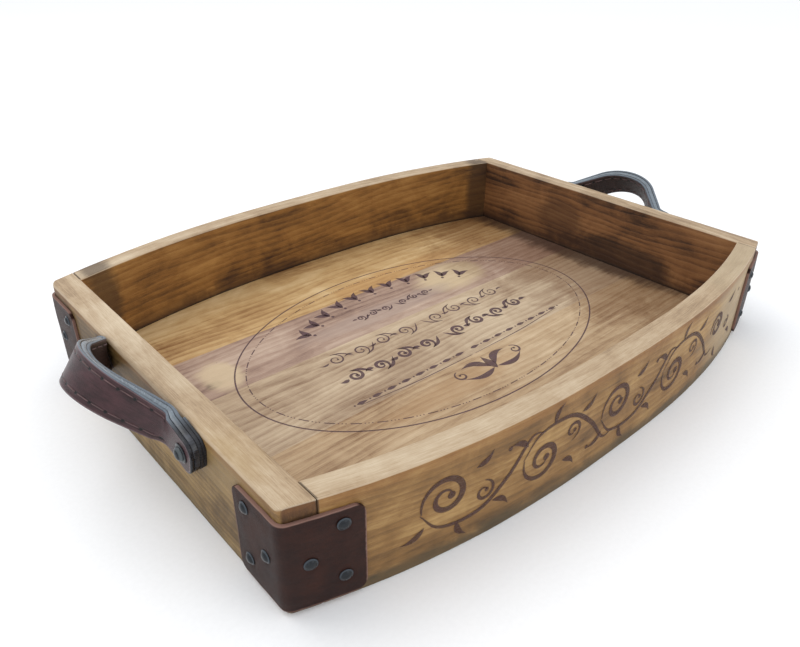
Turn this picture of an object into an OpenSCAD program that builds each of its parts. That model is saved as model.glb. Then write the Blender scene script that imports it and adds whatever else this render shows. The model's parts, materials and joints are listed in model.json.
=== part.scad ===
// Bowed wooden serving tray with leather corner patches and two leather
// strap handles. The origin is the middle of the underside, +Z is up,
// +X runs along the length and -Y is the front.

/* [Wooden frame] */
// Length over the outer faces of the two end boards
tray_length = 500; // [400:1:620]
// Length of an end board between its outer corners
board_depth = 318; // [260:1:400]
// Height of all four walls
wall_height = 77; // [62:1:100]
// How far each long side bows out at its middle
side_bow = 35; // [10:1:50]
// Exponent of the bow, where 2 is a parabola
bow_exponent = 2.5; // [2:0.1:3]
// Thickness of the end boards
board_thickness = 19; // [15:0.5:25]
// Thickness of the bowed side staves
stave_thickness = 17; // [14:0.5:22]
// Radius of the upright outer corners of the end boards
corner_radius = 5; // [2:0.5:8]
// Radius of the rounded top outer edge of the end boards
rim_radius = 4; // [1:0.5:6]

/* [Floor] */
// Thickness of the floor planks
floor_thickness = 9; // [6:0.5:12]
// Height of the floor's underside above the table
floor_lift = 2.5; // [1.5:0.5:6]
// Depth of the floor in the groove of each wall
groove_depth = 5; // [3:0.5:8]
// Gap around the floor's edge in the groove
groove_gap = 0.2; // [0.05:0.05:0.5]
// Places of the glued seams, counted from the middle of the floor
floor_seams = [-118, -56, 26, 88];

/* [Corner dowels] */
// Diameter of the dowels that pin each stave to its end board
dowel_d = 6; // [4:0.5:8]
// Length of a dowel
dowel_length = 24; // [18:1:32]
// Part of the dowel that sits in the end board
dowel_in_board = 8; // [6:0.5:12]
// Height between the two dowels of a corner
dowel_spacing = 18.5; // [14:0.5:30]

/* [Corner patches] */
// Width of a leather patch on each side of its corner
patch_width = 43; // [30:1:50]
// Thickness of the patch leather
patch_thickness = 2.2; // [1.2:0.1:3.5]
// Thickness of the glue under a patch
patch_glue = 0.05; // [0.03:0.01:0.2]
// Distance from the rim down to the patch
patch_below_rim = 10; // [5:1:20]
// Distance from the table up to the patch
patch_above_table = 4; // [2:1:12]
// Least gap along an end board between a strap's end and a patch
strap_to_patch = 2; // [1:0.5:10]
// Radius of the free corners of a patch
patch_corner_r = 7; // [2:0.5:10]
// Diameter of a nail's domed head
nail_head_d = 8; // [6:0.5:10]
// Height of the domed head
nail_head_h = 2.2; // [1.5:0.1:3]
// Diameter of a nail's shank
nail_shank_d = 1.8; // [1.4:0.1:2.5]
// Length of a nail's shank under the head
nail_length = 8.5; // [6:0.5:10]
// Distance of the outer nails from the free side of the patch
nail_inset = 12; // [8:0.5:16]
// Distance of the inner nail from the corner
nail_from_corner = 13; // [9:0.5:18]
// Distance of the upper nail below the top of the patch
nail_top_inset = 10; // [7:0.5:14]
// Distance of the lower nail above the bottom of the patch
nail_bottom_inset = 15.5; // [7:0.5:18]

/* [Strap handles] */
// Width of the strap
strap_width = 24; // [16:0.5:30]
// Thickness of the outer leather
face_thickness = 2.4; // [1.5:0.1:3.5]
// Thickness of the filler between the two leathers
core_thickness = 3.4; // [2:0.1:5]
// Thickness of the inner leather
lining_thickness = 2.4; // [1.5:0.1:3.5]
// Thickness of the pad under each strap end
pad_thickness = 1.8; // [1:0.1:4]
// Radius of the arch's crown, on its outer face
crown_radius = 42; // [35:0.5:52]
// Slope of the arch's sides
flank_angle = 49.5; // [40:0.5:60]
// Length of the straight sides of the arch
flank_length = 26; // [20:0.5:32]
// Radius of the bend where the strap leaves the board
base_radius = 10.2; // [8:0.1:14]
// Length of the flat tab at each end of the strap
tab_length = 28; // [22:0.5:34]
// Distance from the bend to the pad
pad_from_bend = 3.5; // [0:0.5:8]
// Radius of the tab's corners
tab_corner_r = 8; // [1:0.5:9]
// Distance from the rim down to the left strap's foot line
left_below_rim = 9; // [6:0.5:30]
// Distance from the rim down to the right strap's foot line
right_below_rim = 15; // [6:0.5:30]
// Angle by which the left strap's front tab slopes down, and its back tab
tilt_left_front = 12; // [0:1:40]
tilt_left_back = 30; // [0:1:40]
// Angle by which the right strap's front tab slopes down, and its back tab
tilt_right_front = 14; // [0:1:40]
tilt_right_back = 14; // [0:1:40]
// Angle by which the left handle's arch is raised
raise_left = 43; // [0:1:60]
// Angle by which the right handle's arch is raised
raise_right = 33; // [0:1:60]
// Distance of the left handle from the middle of its board
shift_left = -3; // [-6:0.5:6]
// Distance of the right handle from the middle of its board
shift_right = -5; // [-6:0.5:6]
// Power by which the strap twists as it rises
twist_exponent = 1.2; // [0.5:0.1:2]
// Rise of the outer face above its tabs where the strap starts to flex
flex_height = 12.5; // [11:0.5:16]
// Distance of the seams from the strap's edges
seam_inset = 4; // [2.5:0.5:6]
// Diameter of the sewing thread
thread_d = 0.9; // [0.5:0.1:1.4]

/* [Handle screws] */
// Distance of a screw from the end of the strap
screw_from_end = 11; // [9:0.5:16]
// Diameter of the screw's domed head
screw_head_d = 9; // [7:0.5:12]
// Height of the screw's head
screw_head_h = 3; // [2:0.1:4]
// Diameter of the screw's shank
screw_shank_d = 4; // [3:0.1:5]
// Length of the shank in the wood
screw_in_wood = 15; // [10:0.5:17]
// Diameter of the washer under the head
washer_d = 12.5; // [10:0.5:15]
// Thickness of the washer
washer_thickness = 0.9; // [0.5:0.1:1.5]

/* [Hidden] */

$fn = 48;
LEFT = -1;
RIGHT = 1;
FRONT = -1;
BACK = 1;

// Radial room of a dowel, a nail or a screw in its hole
pin_gap = 0.05;
// Room at each end of a dowel in its hole
dowel_end_gap = 0.5;
// Room between a strap's flexing arch and its fixed ends
flex_gap = 0.3;
// Extra reach of a cutter past the surface that it cuts
past = 1;
// Number of straight pieces in each bow
bow_steps = 56;
// Number of straight pieces in the arc of an outer corner
corner_steps = 8;
// Number of straight pieces in the end of a board beside the corner's arc
board_steps = 4;
// Number of straight pieces in the full circle of a domed head
dome_steps = 96;
// Number of sides of a sewing thread
thread_sides = 6;
// Length of one straight piece along a strap
strap_step = 3;

half_length = tray_length / 2;
half_depth = board_depth / 2;
joint_x = half_length - board_thickness;
// Side of a cutter that reaches past the whole tray
beyond = tray_length + board_depth;
strap_thickness = face_thickness + core_thickness + lining_thickness;
strap_out = pad_thickness + strap_thickness;
patch_top = wall_height - patch_below_rim;
patch_mid = (patch_top + patch_above_table) / 2;
patch_outside = patch_glue + patch_thickness;

WOOD_PALE = "tan";
WOOD_DARK = "peru";
LEATHER = [0.30, 0.15, 0.13];
LEATHER_DARK = [0.20, 0.12, 0.10];
BLACK_METAL = [0.12, 0.13, 0.15];
THREAD = [0.55, 0.40, 0.32];

// ---------------------------------------------------------------- outline

// Half depth of the tray's outside at x
function bow_y(x) = half_depth + side_bow * (1 - pow(abs(x) / half_length, bow_exponent));
// Half depth of the well at x
function well_y(x) = bow_y(x) - stave_thickness;
// Slope of the bow at x, as an angle
function bow_slope(x) =
    atan(side_bow * bow_exponent / half_length * pow(abs(x) / half_length, bow_exponent - 1));
bow_end_angle = bow_slope(half_length);

// Evenly spaced values from a to b
function spread(a, b, steps) = [for (i = [0 : steps]) a + (b - a) * i / steps];
function mirrored_x(points) = [for (p = points) [-p[0], p[1]]];
function mirrored_y(points) = [for (p = points) [p[0], -p[1]]];
function turned_round(points) = [for (i = [len(points) - 1 : -1 : 0]) points[i]];

// Centre of the arc that rounds the corner at +X, +Y, at a given radius
function corner_centre(r) =
    let (normal = [sin(bow_end_angle), cos(bow_end_angle)],
         cx = half_length - r)
    [cx, (normal * [half_length, half_depth] - r - cx * normal[0]) / normal[1]];

// Point of the corner at +X, +Y on a line that runs outside the wood
function corner_arc(outside) =
    let (c = corner_centre(corner_radius), r = corner_radius + outside)
    [for (a = spread(0, 90 - bow_end_angle, corner_steps)) c + r * [cos(a), sin(a)]];

// Points of the bow from its end towards the middle, moved outwards
function bow_line(x_start, x_end, outside, steps) =
    [for (x = spread(x_start, x_end, steps))
        [x, bow_y(x)] + outside * [sin(bow_slope(x)), cos(bow_slope(x))]];

// ------------------------------------------------------------ small tools

// Removes the corner of a body along Z; the rounded edge lies at the origin
// and the body fills the quarter at -X, -Y
module edge_cutter(r, length) {
    translate([0, 0, -length / 2])
        difference() {
            translate([-r, -r, 0]) cube([r + past, r + past, length]);
            translate([-r, -r, -past]) cylinder(r = r, h = length + 2 * past);
        }
}

// Cylinder along X from x1 to x2
module rod_x(x1, x2, d, y, z) {
    translate([min(x1, x2), y, z]) rotate([0, 90, 0]) cylinder(d = d, h = abs(x2 - x1));
}

// Domed head with its flat side on the XY plane
module dome(d, h) {
    sphere_r = (d * d / 4 + h * h) / (2 * h);
    rotate_extrude()
        intersection() {
            translate([0, h - sphere_r]) circle(r = sphere_r, $fn = dome_steps);
            square([d / 2, h]);
        }
}

// -------------------------------------------------------------- the floor

// Outline of the well, moved out into the walls by a given depth
module floor_outline(deeper) {
    end_x = joint_x + deeper;
    top = [for (x = spread(end_x, -end_x, bow_steps))
        [x, well_y(min(abs(x), joint_x)) + deeper]];
    polygon(concat(top, turned_round(mirrored_y(top))));
}

module floor_groove() {
    translate([0, 0, floor_lift - pin_gap])
        linear_extrude(floor_thickness + 2 * pin_gap) floor_outline(groove_depth + groove_gap);
}

module floor_plank(number) {
    edges = concat([-beyond], floor_seams, [beyond]);
    color(number == 4 ? WOOD_DARK : WOOD_PALE)
        intersection() {
            translate([0, 0, floor_lift])
                linear_extrude(floor_thickness) floor_outline(groove_depth);
            translate([-beyond, edges[number - 1], 0])
                cube([2 * beyond, edges[number] - edges[number - 1], wall_height]);
        }
}

// --------------------------------------------------------------- fixings

dowel_deep_x = joint_x + dowel_in_board - dowel_length;
// Line on which the dowels of a corner lie, with as much wood outside them at
// their end in the board as inside them at their end in the stave
dowel_y = (bow_y(joint_x + dowel_in_board) + well_y(dowel_deep_x)) / 2;

module dowel_pair(side, front, gap, end_gap) {
    for (z = [-1, 1] * dowel_spacing / 2)
        rod_x(side * (joint_x + dowel_in_board + end_gap), side * (dowel_deep_x - end_gap),
              dowel_d + 2 * gap, front * dowel_y, wall_height / 2 + z);
}

module dowels(side, front) {
    color(WOOD_PALE) dowel_pair(side, front, 0, 0);
}

module dowel_holes(side, front) {
    dowel_pair(side, front, pin_gap, dowel_end_gap);
}

// Puts its children on the outer face of the wood at each nail of a corner,
// with +Z pointing out of the wood
module at_nails(side, front) {
    corner_y = bow_y(half_length);
    rows = [[patch_width - nail_inset, patch_top - nail_top_inset],
            [nail_from_corner, patch_mid],
            [patch_width - nail_inset, patch_above_table + nail_bottom_inset]];
    for (row = rows) {
        translate([side * half_length, front * (corner_y - row[0]), row[1]])
            rotate([0, side * 90, 0]) children();
        x = half_length - row[0];
        translate([side * x, front * bow_y(x), row[1]])
            rotate([0, 0, -side * front * bow_slope(x)])
                rotate([-front * 90, 0, 0]) children();
    }
}

module nail_holes(side, front) {
    at_nails(side, front)
        translate([0, 0, patch_outside - nail_length])
            cylinder(d = nail_shank_d + 2 * pin_gap, h = nail_length + past);
}

module nails(side, front) {
    color(BLACK_METAL)
        at_nails(side, front)
            translate([0, 0, patch_outside + pin_gap]) {
                dome(nail_head_d, nail_head_h);
                translate([0, 0, -nail_length]) cylinder(d = nail_shank_d, h = nail_length);
            }
}

// ----------------------------------------------------------- wooden walls

module end_board(side) {
    outer = concat(corner_arc(0),
                   bow_line(half_length - corner_radius - past, joint_x, 0, board_steps));
    outline = concat(outer, turned_round(mirrored_y(outer)));
    color(WOOD_PALE)
        difference() {
            linear_extrude(wall_height) polygon(side == RIGHT ? outline : mirrored_x(outline));
            translate([side * half_length, 0, wall_height])
                rotate([90, 0, 0]) mirror([side == LEFT ? 1 : 0, 0, 0])
                    edge_cutter(rim_radius, 2 * beyond);
            floor_groove();
            for (front = [FRONT, BACK]) {
                dowel_holes(side, front);
                nail_holes(side, front);
            }
            screw_holes(side, screw_shank_d / 2 + pin_gap);
        }
}

module side_stave(front) {
    outer = [for (x = spread(joint_x, -joint_x, bow_steps)) [x, bow_y(x)]];
    inner = [for (x = spread(-joint_x, joint_x, bow_steps)) [x, well_y(x)]];
    outline = concat(outer, inner);
    color(WOOD_DARK)
        difference() {
            linear_extrude(wall_height) polygon(front == BACK ? outline : mirrored_y(outline));
            floor_groove();
            for (side = [LEFT, RIGHT]) {
                dowel_holes(side, front);
                nail_holes(side, front);
            }
        }
}

// --------------------------------------------------------- corner patches

// Line around a corner, from the flat face to the bow, outside the wood
function patch_line(x_end, face_y, outside) =
    concat([[half_length + outside, face_y]], corner_arc(outside),
           bow_line(half_length - corner_radius - past, x_end, outside, corner_steps));

module corner_patch(side, front) {
    x_end = half_length - patch_width;
    face_y = half_depth - min(patch_width, half_depth - strap_to_patch
                                           - tab_reach(side, front)
                                           - front * shift_of(side));
    sheet = concat(patch_line(x_end, face_y, patch_glue),
                   turned_round(patch_line(x_end, face_y, patch_outside)));
    end_point = bow_line(x_end, x_end, patch_outside, 1)[0];
    color(LEATHER)
        difference() {
            mirror([side == LEFT ? 1 : 0, 0, 0]) mirror([0, front == FRONT ? 1 : 0, 0])
                difference() {
                    translate([0, 0, patch_above_table])
                        linear_extrude(patch_top - patch_above_table) polygon(sheet);
                    for (top = [0, 1])
                        translate([0, 0, top == 1 ? patch_top : patch_above_table])
                            mirror([0, 0, 1 - top]) {
                                translate([half_length, face_y, 0])
                                    rotate([0, 90, 0]) rotate([0, 0, 180])
                                        edge_cutter(patch_corner_r, board_thickness);
                                translate([end_point[0], end_point[1], 0])
                                    rotate([0, 0, -bow_slope(x_end)]) rotate([90, 0, 0])
                                        mirror([1, 0, 0])
                                            edge_cutter(patch_corner_r, stave_thickness);
                            }
                }
            nail_holes(side, front);
        }
}

// ---------------------------------------------------------- strap handles

crown_arc = crown_radius * flank_angle * PI / 180;
// Along the board, the flank's end, where the bend to the tab starts
bend_u = crown_radius * sin(flank_angle) + flank_length * cos(flank_angle);

function unit(v) = v / norm(v);
function raise_of(side) = side == LEFT ? raise_left : raise_right;
function shift_of(side) = side == LEFT ? shift_left : shift_right;
function handle_z(side) = wall_height - (side == LEFT ? left_below_rim : right_below_rim);
function tilt_of(side, way) = side == LEFT ? (way < 0 ? tilt_left_front : tilt_left_back)
                                           : (way < 0 ? tilt_right_front : tilt_right_back);

// The strap is worked out as [off the board, along the board, up], from the
// middle of its foot line on the tabs' outer face, for one of its two halves

// Directions of the flank and of the tab
function flank_way(side) = [-sin(flank_angle) * cos(raise_of(side)), cos(flank_angle),
                            -sin(flank_angle) * sin(raise_of(side))];
function tab_way(side, way) = [0, cos(tilt_of(side, way)), -sin(tilt_of(side, way))];
// Angle of the bend between them
function bend_angle(side, way) = acos(flank_way(side) * tab_way(side, way));
// Height of the arch, in its own plane, at the bend's start and at its crown
function bend_height(side, way) =
    base_radius * sin(flank_angle) * tan(bend_angle(side, way) / 2);
function arch_height(side, way) = bend_height(side, way) + flank_length * sin(flank_angle)
                                  + crown_radius * (1 - cos(flank_angle));
// Lengths from the strap's middle to the tab's start and to its end
function flat_start(side, way) =
    crown_arc + flank_length + base_radius * bend_angle(side, way) * PI / 180;
function strap_half(side, way) = flat_start(side, way) + tab_length;

// Place of a point at height h and distance u in the plane of the arch
function in_arch(side, way, u, h) = [h * cos(raise_of(side)), u, h * sin(raise_of(side))];

// A place and a direction on one half, at a length d from its middle
function half_path(side, way, d) =
    d < crown_arc
    ? let (a = d / crown_radius * 180 / PI, r = raise_of(side))
      [in_arch(side, way, crown_radius * sin(a),
               arch_height(side, way) - crown_radius * (1 - cos(a))),
       [-sin(a) * cos(r), cos(a), -sin(a) * sin(r)]]
    : d < crown_arc + flank_length
    ? [in_arch(side, way, bend_u, bend_height(side, way))
       - (crown_arc + flank_length - d) * flank_way(side), flank_way(side)]
    : d < flat_start(side, way)
    ? let (t = (d - crown_arc - flank_length) / base_radius * 180 / PI)
      [bend_place(side, way, t), cos(t) * flank_way(side) + sin(t) * bend_inward(side, way)]
    : [bend_place(side, way, bend_angle(side, way)) + (d - flat_start(side, way))
       * tab_way(side, way), tab_way(side, way)];
function bend_inward(side, way) =
    let (phi = bend_angle(side, way))
    (tab_way(side, way) - cos(phi) * flank_way(side)) / sin(phi);
function bend_place(side, way, t) =
    in_arch(side, way, bend_u, bend_height(side, way))
    + base_radius * (sin(t) * flank_way(side) + (1 - cos(t)) * bend_inward(side, way));

// Along the board and up, the middle of the tab's start
function tab_foot(side, way) =
    let (p = bend_place(side, way, bend_angle(side, way))) [p[1], p[2]];
// Farthest that a tab reaches along the board from the handle's middle
function tab_reach(side, way) = tab_foot(side, way)[0] + tab_length * cos(tilt_of(side, way))
                                + strap_width / 2 * sin(tilt_of(side, way));

// Along the board, the flexing line; and along the strap, its length there
flex_u = bend_u - (flex_height - bend_height(LEFT, 1)) / tan(flank_angle);
flex_at = crown_arc + flank_length - (bend_u - flex_u) / cos(flank_angle);
// Extra length of a layer, which the upright cut at the flexing line takes off
flex_spare = 2 * strap_thickness;

// Frame of the strap at a signed length d from its middle: the middle of the
// outer face, the direction across the strap and the direction into it. The
// halves' arches differ a little in height, so each is moved to the mean crown
function strap_frame(side, d) =
    let (way = d < 0 ? -1 : 1, p = half_path(side, way, abs(d)), r = raise_of(side),
         rise = max(p[0][0], 0) / cos(r) / arch_height(side, way),
         twist = r * pow(min(rise, 1), twist_exponent),
         crown = (arch_height(side, 1) + arch_height(side, -1)) / 2
                 - arch_height(side, way),
         lift = crown * pow(min(rise, 1), 2),
         place = [side * (half_length + strap_out + p[0][0] + lift * cos(r)),
                  shift_of(side) + way * p[0][1],
                  handle_z(side) + p[0][2] + lift * sin(r)],
         along = [side * p[1][0], way * p[1][1], p[1][2]],
         leaning = [-side * sin(twist), 0, cos(twist)],
         across = unit(leaning - (leaning * along) * along),
         inward = cross(along, across) * way * -side)
    [place, across, inward];

// Closed skin over rings of points that all have the same number of points.
// The strip numbered turned is split along its other diagonal, so that one
// layer's bottom and the next layer's top are the same surface
module skin(rings, turned = -1) {
    n = len(rings[0]);
    last = len(rings) - 1;
    points = [for (ring = rings) for (p = ring) p];
    sides = [for (i = [0 : last - 1]) for (j = [0 : n - 1])
        let (a = i * n + j, b = i * n + (j + 1) % n, c = a + n, e = b + n)
        each j == turned ? [[a, b, c], [b, e, c]] : [[a, b, e], [a, e, c]]];
    caps = [[for (j = [n - 1 : -1 : 0]) j], [for (j = [0 : n - 1]) last * n + j]];
    polyhedron(points, concat(sides, caps));
}

// One layer of the strap between two lengths, from depth t1 to depth t2
module strap_layer(side, d1, d2, t1, t2) {
    steps = ceil(abs(d2 - d1) / strap_step);
    w = strap_width / 2;
    rings = [for (d = spread(d1, d2, steps))
        let (f = strap_frame(side, d))
        [f[0] + w * f[1] + t1 * f[2], f[0] + w * f[1] + t2 * f[2],
         f[0] - w * f[1] + t2 * f[2], f[0] - w * f[1] + t1 * f[2]]];
    skin(side == RIGHT ? rings : turned_round(rings), 3);
}

// Space between two upright planes, at equal distances from a handle's middle
module middle_space(side, half_width) {
    translate([side * half_length - beyond / 2, shift_of(side) - half_width, 0])
        cube([beyond, 2 * half_width, beyond]);
}

module arch_layer(side, t1, t2) {
    intersection() {
        strap_layer(side, -flex_at - flex_spare, flex_at + flex_spare, t1, t2);
        middle_space(side, flex_u - flex_gap / 2);
    }
}

// Fixed ends of one layer: the bend up to the flexing part and the flat tab
module end_layers(side, t1, t2) {
    difference() {
        for (way = [-1, 1])
            strap_layer(side, way > 0 ? flex_at - flex_spare : -strap_half(side, way),
                        way > 0 ? strap_half(side, way) : flex_spare - flex_at, t1, t2);
        middle_space(side, flex_u + flex_gap / 2);
        tab_corner_cutters(side);
        screw_holes(side, screw_shank_d / 2 + 2 * pin_gap);
    }
}

// Puts its children at the start of a tab, with +Y along the tab
module at_tab(side, way) {
    foot = tab_foot(side, way);
    translate([0, shift_of(side) + way * foot[0], handle_z(side) + foot[1]])
        rotate([-way * tilt_of(side, way), 0, 0])
            mirror([0, way > 0 ? 0 : 1, 0]) children();
}

module tab_corner_cutters(side) {
    for (way = [-1, 1], top = [-1, 1])
        at_tab(side, way)
            translate([side * (half_length + strap_out / 2), tab_length, top * strap_width / 2])
                rotate([0, 90, 0]) mirror([top > 0 ? 1 : 0, 0, 0])
                    edge_cutter(tab_corner_r, strap_out + 4 * past);
}

module screw_holes(side, r) {
    for (way = [-1, 1])
        at_tab(side, way)
            rod_x(side * (half_length - screw_in_wood - pin_gap),
                  side * (half_length + strap_out + past), 2 * r,
                  tab_length - screw_from_end, 0);
}

// Pad between the flat tab and the board
module end_pads(side) {
    color(LEATHER_DARK)
        difference() {
            for (way = [-1, 1])
                at_tab(side, way)
                    translate([side > 0 ? half_length : -half_length - pad_thickness,
                               pad_from_bend, -strap_width / 2])
                        cube([pad_thickness, tab_length - pad_from_bend, strap_width]);
            tab_corner_cutters(side);
            screw_holes(side, screw_shank_d / 2 + 2 * pin_gap);
        }
}

module at_screws(side, out) {
    for (way = [-1, 1])
        at_tab(side, way)
            translate([side * (half_length + strap_out + out), tab_length - screw_from_end, 0])
                rotate([0, side * 90, 0]) children();
}

module washers(side) {
    color(BLACK_METAL)
        at_screws(side, 0)
            difference() {
                cylinder(d = washer_d, h = washer_thickness);
                translate([0, 0, -past])
                    cylinder(d = screw_shank_d + 4 * pin_gap, h = washer_thickness + 2 * past);
            }
}

module screws(side) {
    color(BLACK_METAL)
        at_screws(side, washer_thickness) {
            dome(screw_head_d, screw_head_h);
            shank = washer_thickness + strap_out + screw_in_wood;
            translate([0, 0, -shank]) cylinder(d = screw_shank_d, h = shank);
        }
}

// Two rows of sewing thread on the outer face of the arch
module threads(side) {
    reach = flex_at + flex_spare;
    r = thread_d / 2;
    color(THREAD)
        intersection() {
            for (row = [-1, 1]) {
                rings = [for (d = spread(-reach, reach, ceil(2 * reach / strap_step)))
                    let (f = strap_frame(side, d),
                         c = f[0] + row * (strap_width / 2 - seam_inset) * f[1]
                             - (r + pin_gap) * f[2])
                    [for (i = [0.5 : thread_sides])
                        let (a = i * 360 / thread_sides)
                        c + r * (cos(a) * f[1] + sin(a) * f[2])]];
                skin(side == RIGHT ? turned_round(rings) : rings);
            }
            middle_space(side, flex_u - flex_gap / 2);
        }
}

module arch_face(side) color(LEATHER) arch_layer(side, 0, face_thickness);
module arch_core(side) color(LEATHER_DARK)
    arch_layer(side, face_thickness, face_thickness + core_thickness);
module arch_lining(side) color(LEATHER_DARK)
    arch_layer(side, face_thickness + core_thickness, strap_thickness);
module end_faces(side) color(LEATHER) end_layers(side, 0, face_thickness);
module end_cores(side) color(LEATHER_DARK)
    end_layers(side, face_thickness, face_thickness + core_thickness);
module end_linings(side) color(LEATHER_DARK)
    end_layers(side, face_thickness + core_thickness, strap_thickness);

// ------------------------------------------------------------------ nodes

end_board(LEFT);  // end_board_left
end_board(RIGHT);  // end_board_right
side_stave(FRONT);  // side_stave_front
side_stave(BACK);  // side_stave_back
floor_plank(1);  // floor_plank_1
floor_plank(2);  // floor_plank_2
floor_plank(3);  // floor_plank_3
floor_plank(4);  // floor_plank_4
floor_plank(5);  // floor_plank_5
dowels(LEFT, FRONT);  // dowels_front_left
dowels(RIGHT, FRONT);  // dowels_front_right
dowels(LEFT, BACK);  // dowels_back_left
dowels(RIGHT, BACK);  // dowels_back_right
corner_patch(LEFT, FRONT);  // patch_front_left
corner_patch(RIGHT, FRONT);  // patch_front_right
corner_patch(LEFT, BACK);  // patch_back_left
corner_patch(RIGHT, BACK);  // patch_back_right
nails(LEFT, FRONT);  // nails_front_left
nails(RIGHT, FRONT);  // nails_front_right
nails(LEFT, BACK);  // nails_back_left
nails(RIGHT, BACK);  // nails_back_right
arch_face(LEFT);  // handle_left_face
arch_core(LEFT);  // handle_left_core
arch_lining(LEFT);  // handle_left_lining
threads(LEFT);  // handle_left_thread
end_faces(LEFT);  // handle_left_end_faces
end_cores(LEFT);  // handle_left_end_cores
end_linings(LEFT);  // handle_left_end_linings
end_pads(LEFT);  // handle_left_pads
washers(LEFT);  // handle_left_washers
screws(LEFT);  // handle_left_screws
arch_face(RIGHT);  // handle_right_face
arch_core(RIGHT);  // handle_right_core
arch_lining(RIGHT);  // handle_right_lining
threads(RIGHT);  // handle_right_thread
end_faces(RIGHT);  // handle_right_end_faces
end_cores(RIGHT);  // handle_right_end_cores
end_linings(RIGHT);  // handle_right_end_linings
end_pads(RIGHT);  // handle_right_pads
washers(RIGHT);  // handle_right_washers
screws(RIGHT);  // handle_right_screws
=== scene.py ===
"""Looks of a bowed wooden serving tray with leather corner patches and two stitched strap handles.

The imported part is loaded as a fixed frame. Every length is in millimetres until it becomes a
vertex."""

import json
import logging
import math
from collections.abc import Callable
from dataclasses import dataclass
from enum import Enum

import bpy
import numpy as np
from mathutils import Matrix, Vector, noise

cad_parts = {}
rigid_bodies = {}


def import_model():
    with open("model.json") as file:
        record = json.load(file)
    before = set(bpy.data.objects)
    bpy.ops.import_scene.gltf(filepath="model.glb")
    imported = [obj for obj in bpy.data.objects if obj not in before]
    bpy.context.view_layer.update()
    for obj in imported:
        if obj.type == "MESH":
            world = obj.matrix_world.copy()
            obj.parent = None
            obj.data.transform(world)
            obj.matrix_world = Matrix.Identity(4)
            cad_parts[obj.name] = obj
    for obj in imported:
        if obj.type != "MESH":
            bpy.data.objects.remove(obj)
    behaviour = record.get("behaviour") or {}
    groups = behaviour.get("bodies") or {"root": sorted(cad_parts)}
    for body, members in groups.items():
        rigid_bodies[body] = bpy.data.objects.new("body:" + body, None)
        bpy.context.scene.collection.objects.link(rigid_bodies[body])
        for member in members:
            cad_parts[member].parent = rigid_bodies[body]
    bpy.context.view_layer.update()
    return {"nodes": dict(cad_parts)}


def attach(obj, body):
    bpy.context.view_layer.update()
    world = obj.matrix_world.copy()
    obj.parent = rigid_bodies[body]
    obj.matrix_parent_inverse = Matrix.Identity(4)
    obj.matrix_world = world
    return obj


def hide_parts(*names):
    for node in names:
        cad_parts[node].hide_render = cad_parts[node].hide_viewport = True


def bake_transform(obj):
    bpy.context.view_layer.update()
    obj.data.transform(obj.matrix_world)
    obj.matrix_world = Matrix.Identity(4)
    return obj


log = logging.getLogger("tray")
MM = 0.001
WAVE_SEED = 7
FLOOR_TOP = 11.5
FULL_TURN = math.tau

Tone = tuple[float, float, float]
Spot = tuple[float, float]


class Side(Enum):
    """The two ends of the tray, with the sign of X there."""

    LEFT = -1
    RIGHT = 1


class Front(Enum):
    """The two long sides of the tray, with the sign of Y there."""

    FRONT = -1
    BACK = 1


class Grain(Enum):
    """The axis along which a board's grain runs."""

    LENGTHWISE = "x"
    CROSSWISE = "y"


# ------------------------------------------------------------------ shader tools


def linear(tone: Tone, share: float = 1.0) -> tuple[float, float, float, float]:
    """Turns a share of a tone of 0 to 255 a channel into linear light with full alpha."""
    shares = [c * share / 255 for c in tone]
    light = [c / 12.92 if c <= 0.04045 else ((c + 0.055) / 1.055) ** 2.4 for c in shares]
    return (*light, 1.0)


class Wire:
    """An output socket that arithmetic adds Math nodes to."""

    def __init__(self, sheet: "Recipe", socket: bpy.types.NodeSocket) -> None:
        """Keeps the socket and the material recipe that it belongs to."""
        self.sheet = sheet
        self.socket = socket

    def __add__(self, other: "Wire | float") -> "Wire":
        """Returns self + other."""
        return self.sheet.math("ADD", self, other)

    def __sub__(self, other: "Wire | float") -> "Wire":
        """Returns self - other."""
        return self.sheet.math("SUBTRACT", self, other)

    def __rsub__(self, other: float) -> "Wire":
        """Returns other - self."""
        return self.sheet.math("SUBTRACT", other, self)

    def __mul__(self, other: "Wire | float") -> "Wire":
        """Returns self * other."""
        return self.sheet.math("MULTIPLY", self, other)

    def __truediv__(self, other: "Wire | float") -> "Wire":
        """Returns self / other."""
        return self.sheet.math("DIVIDE", self, other)

    def __pow__(self, other: float) -> "Wire":
        """Returns self to the power other."""
        return self.sheet.math("POWER", self, other)

    def __abs__(self) -> "Wire":
        """Returns the size of self without its sign."""
        return self.sheet.math("ABSOLUTE", self)

    __radd__ = __add__
    __rmul__ = __mul__


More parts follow.
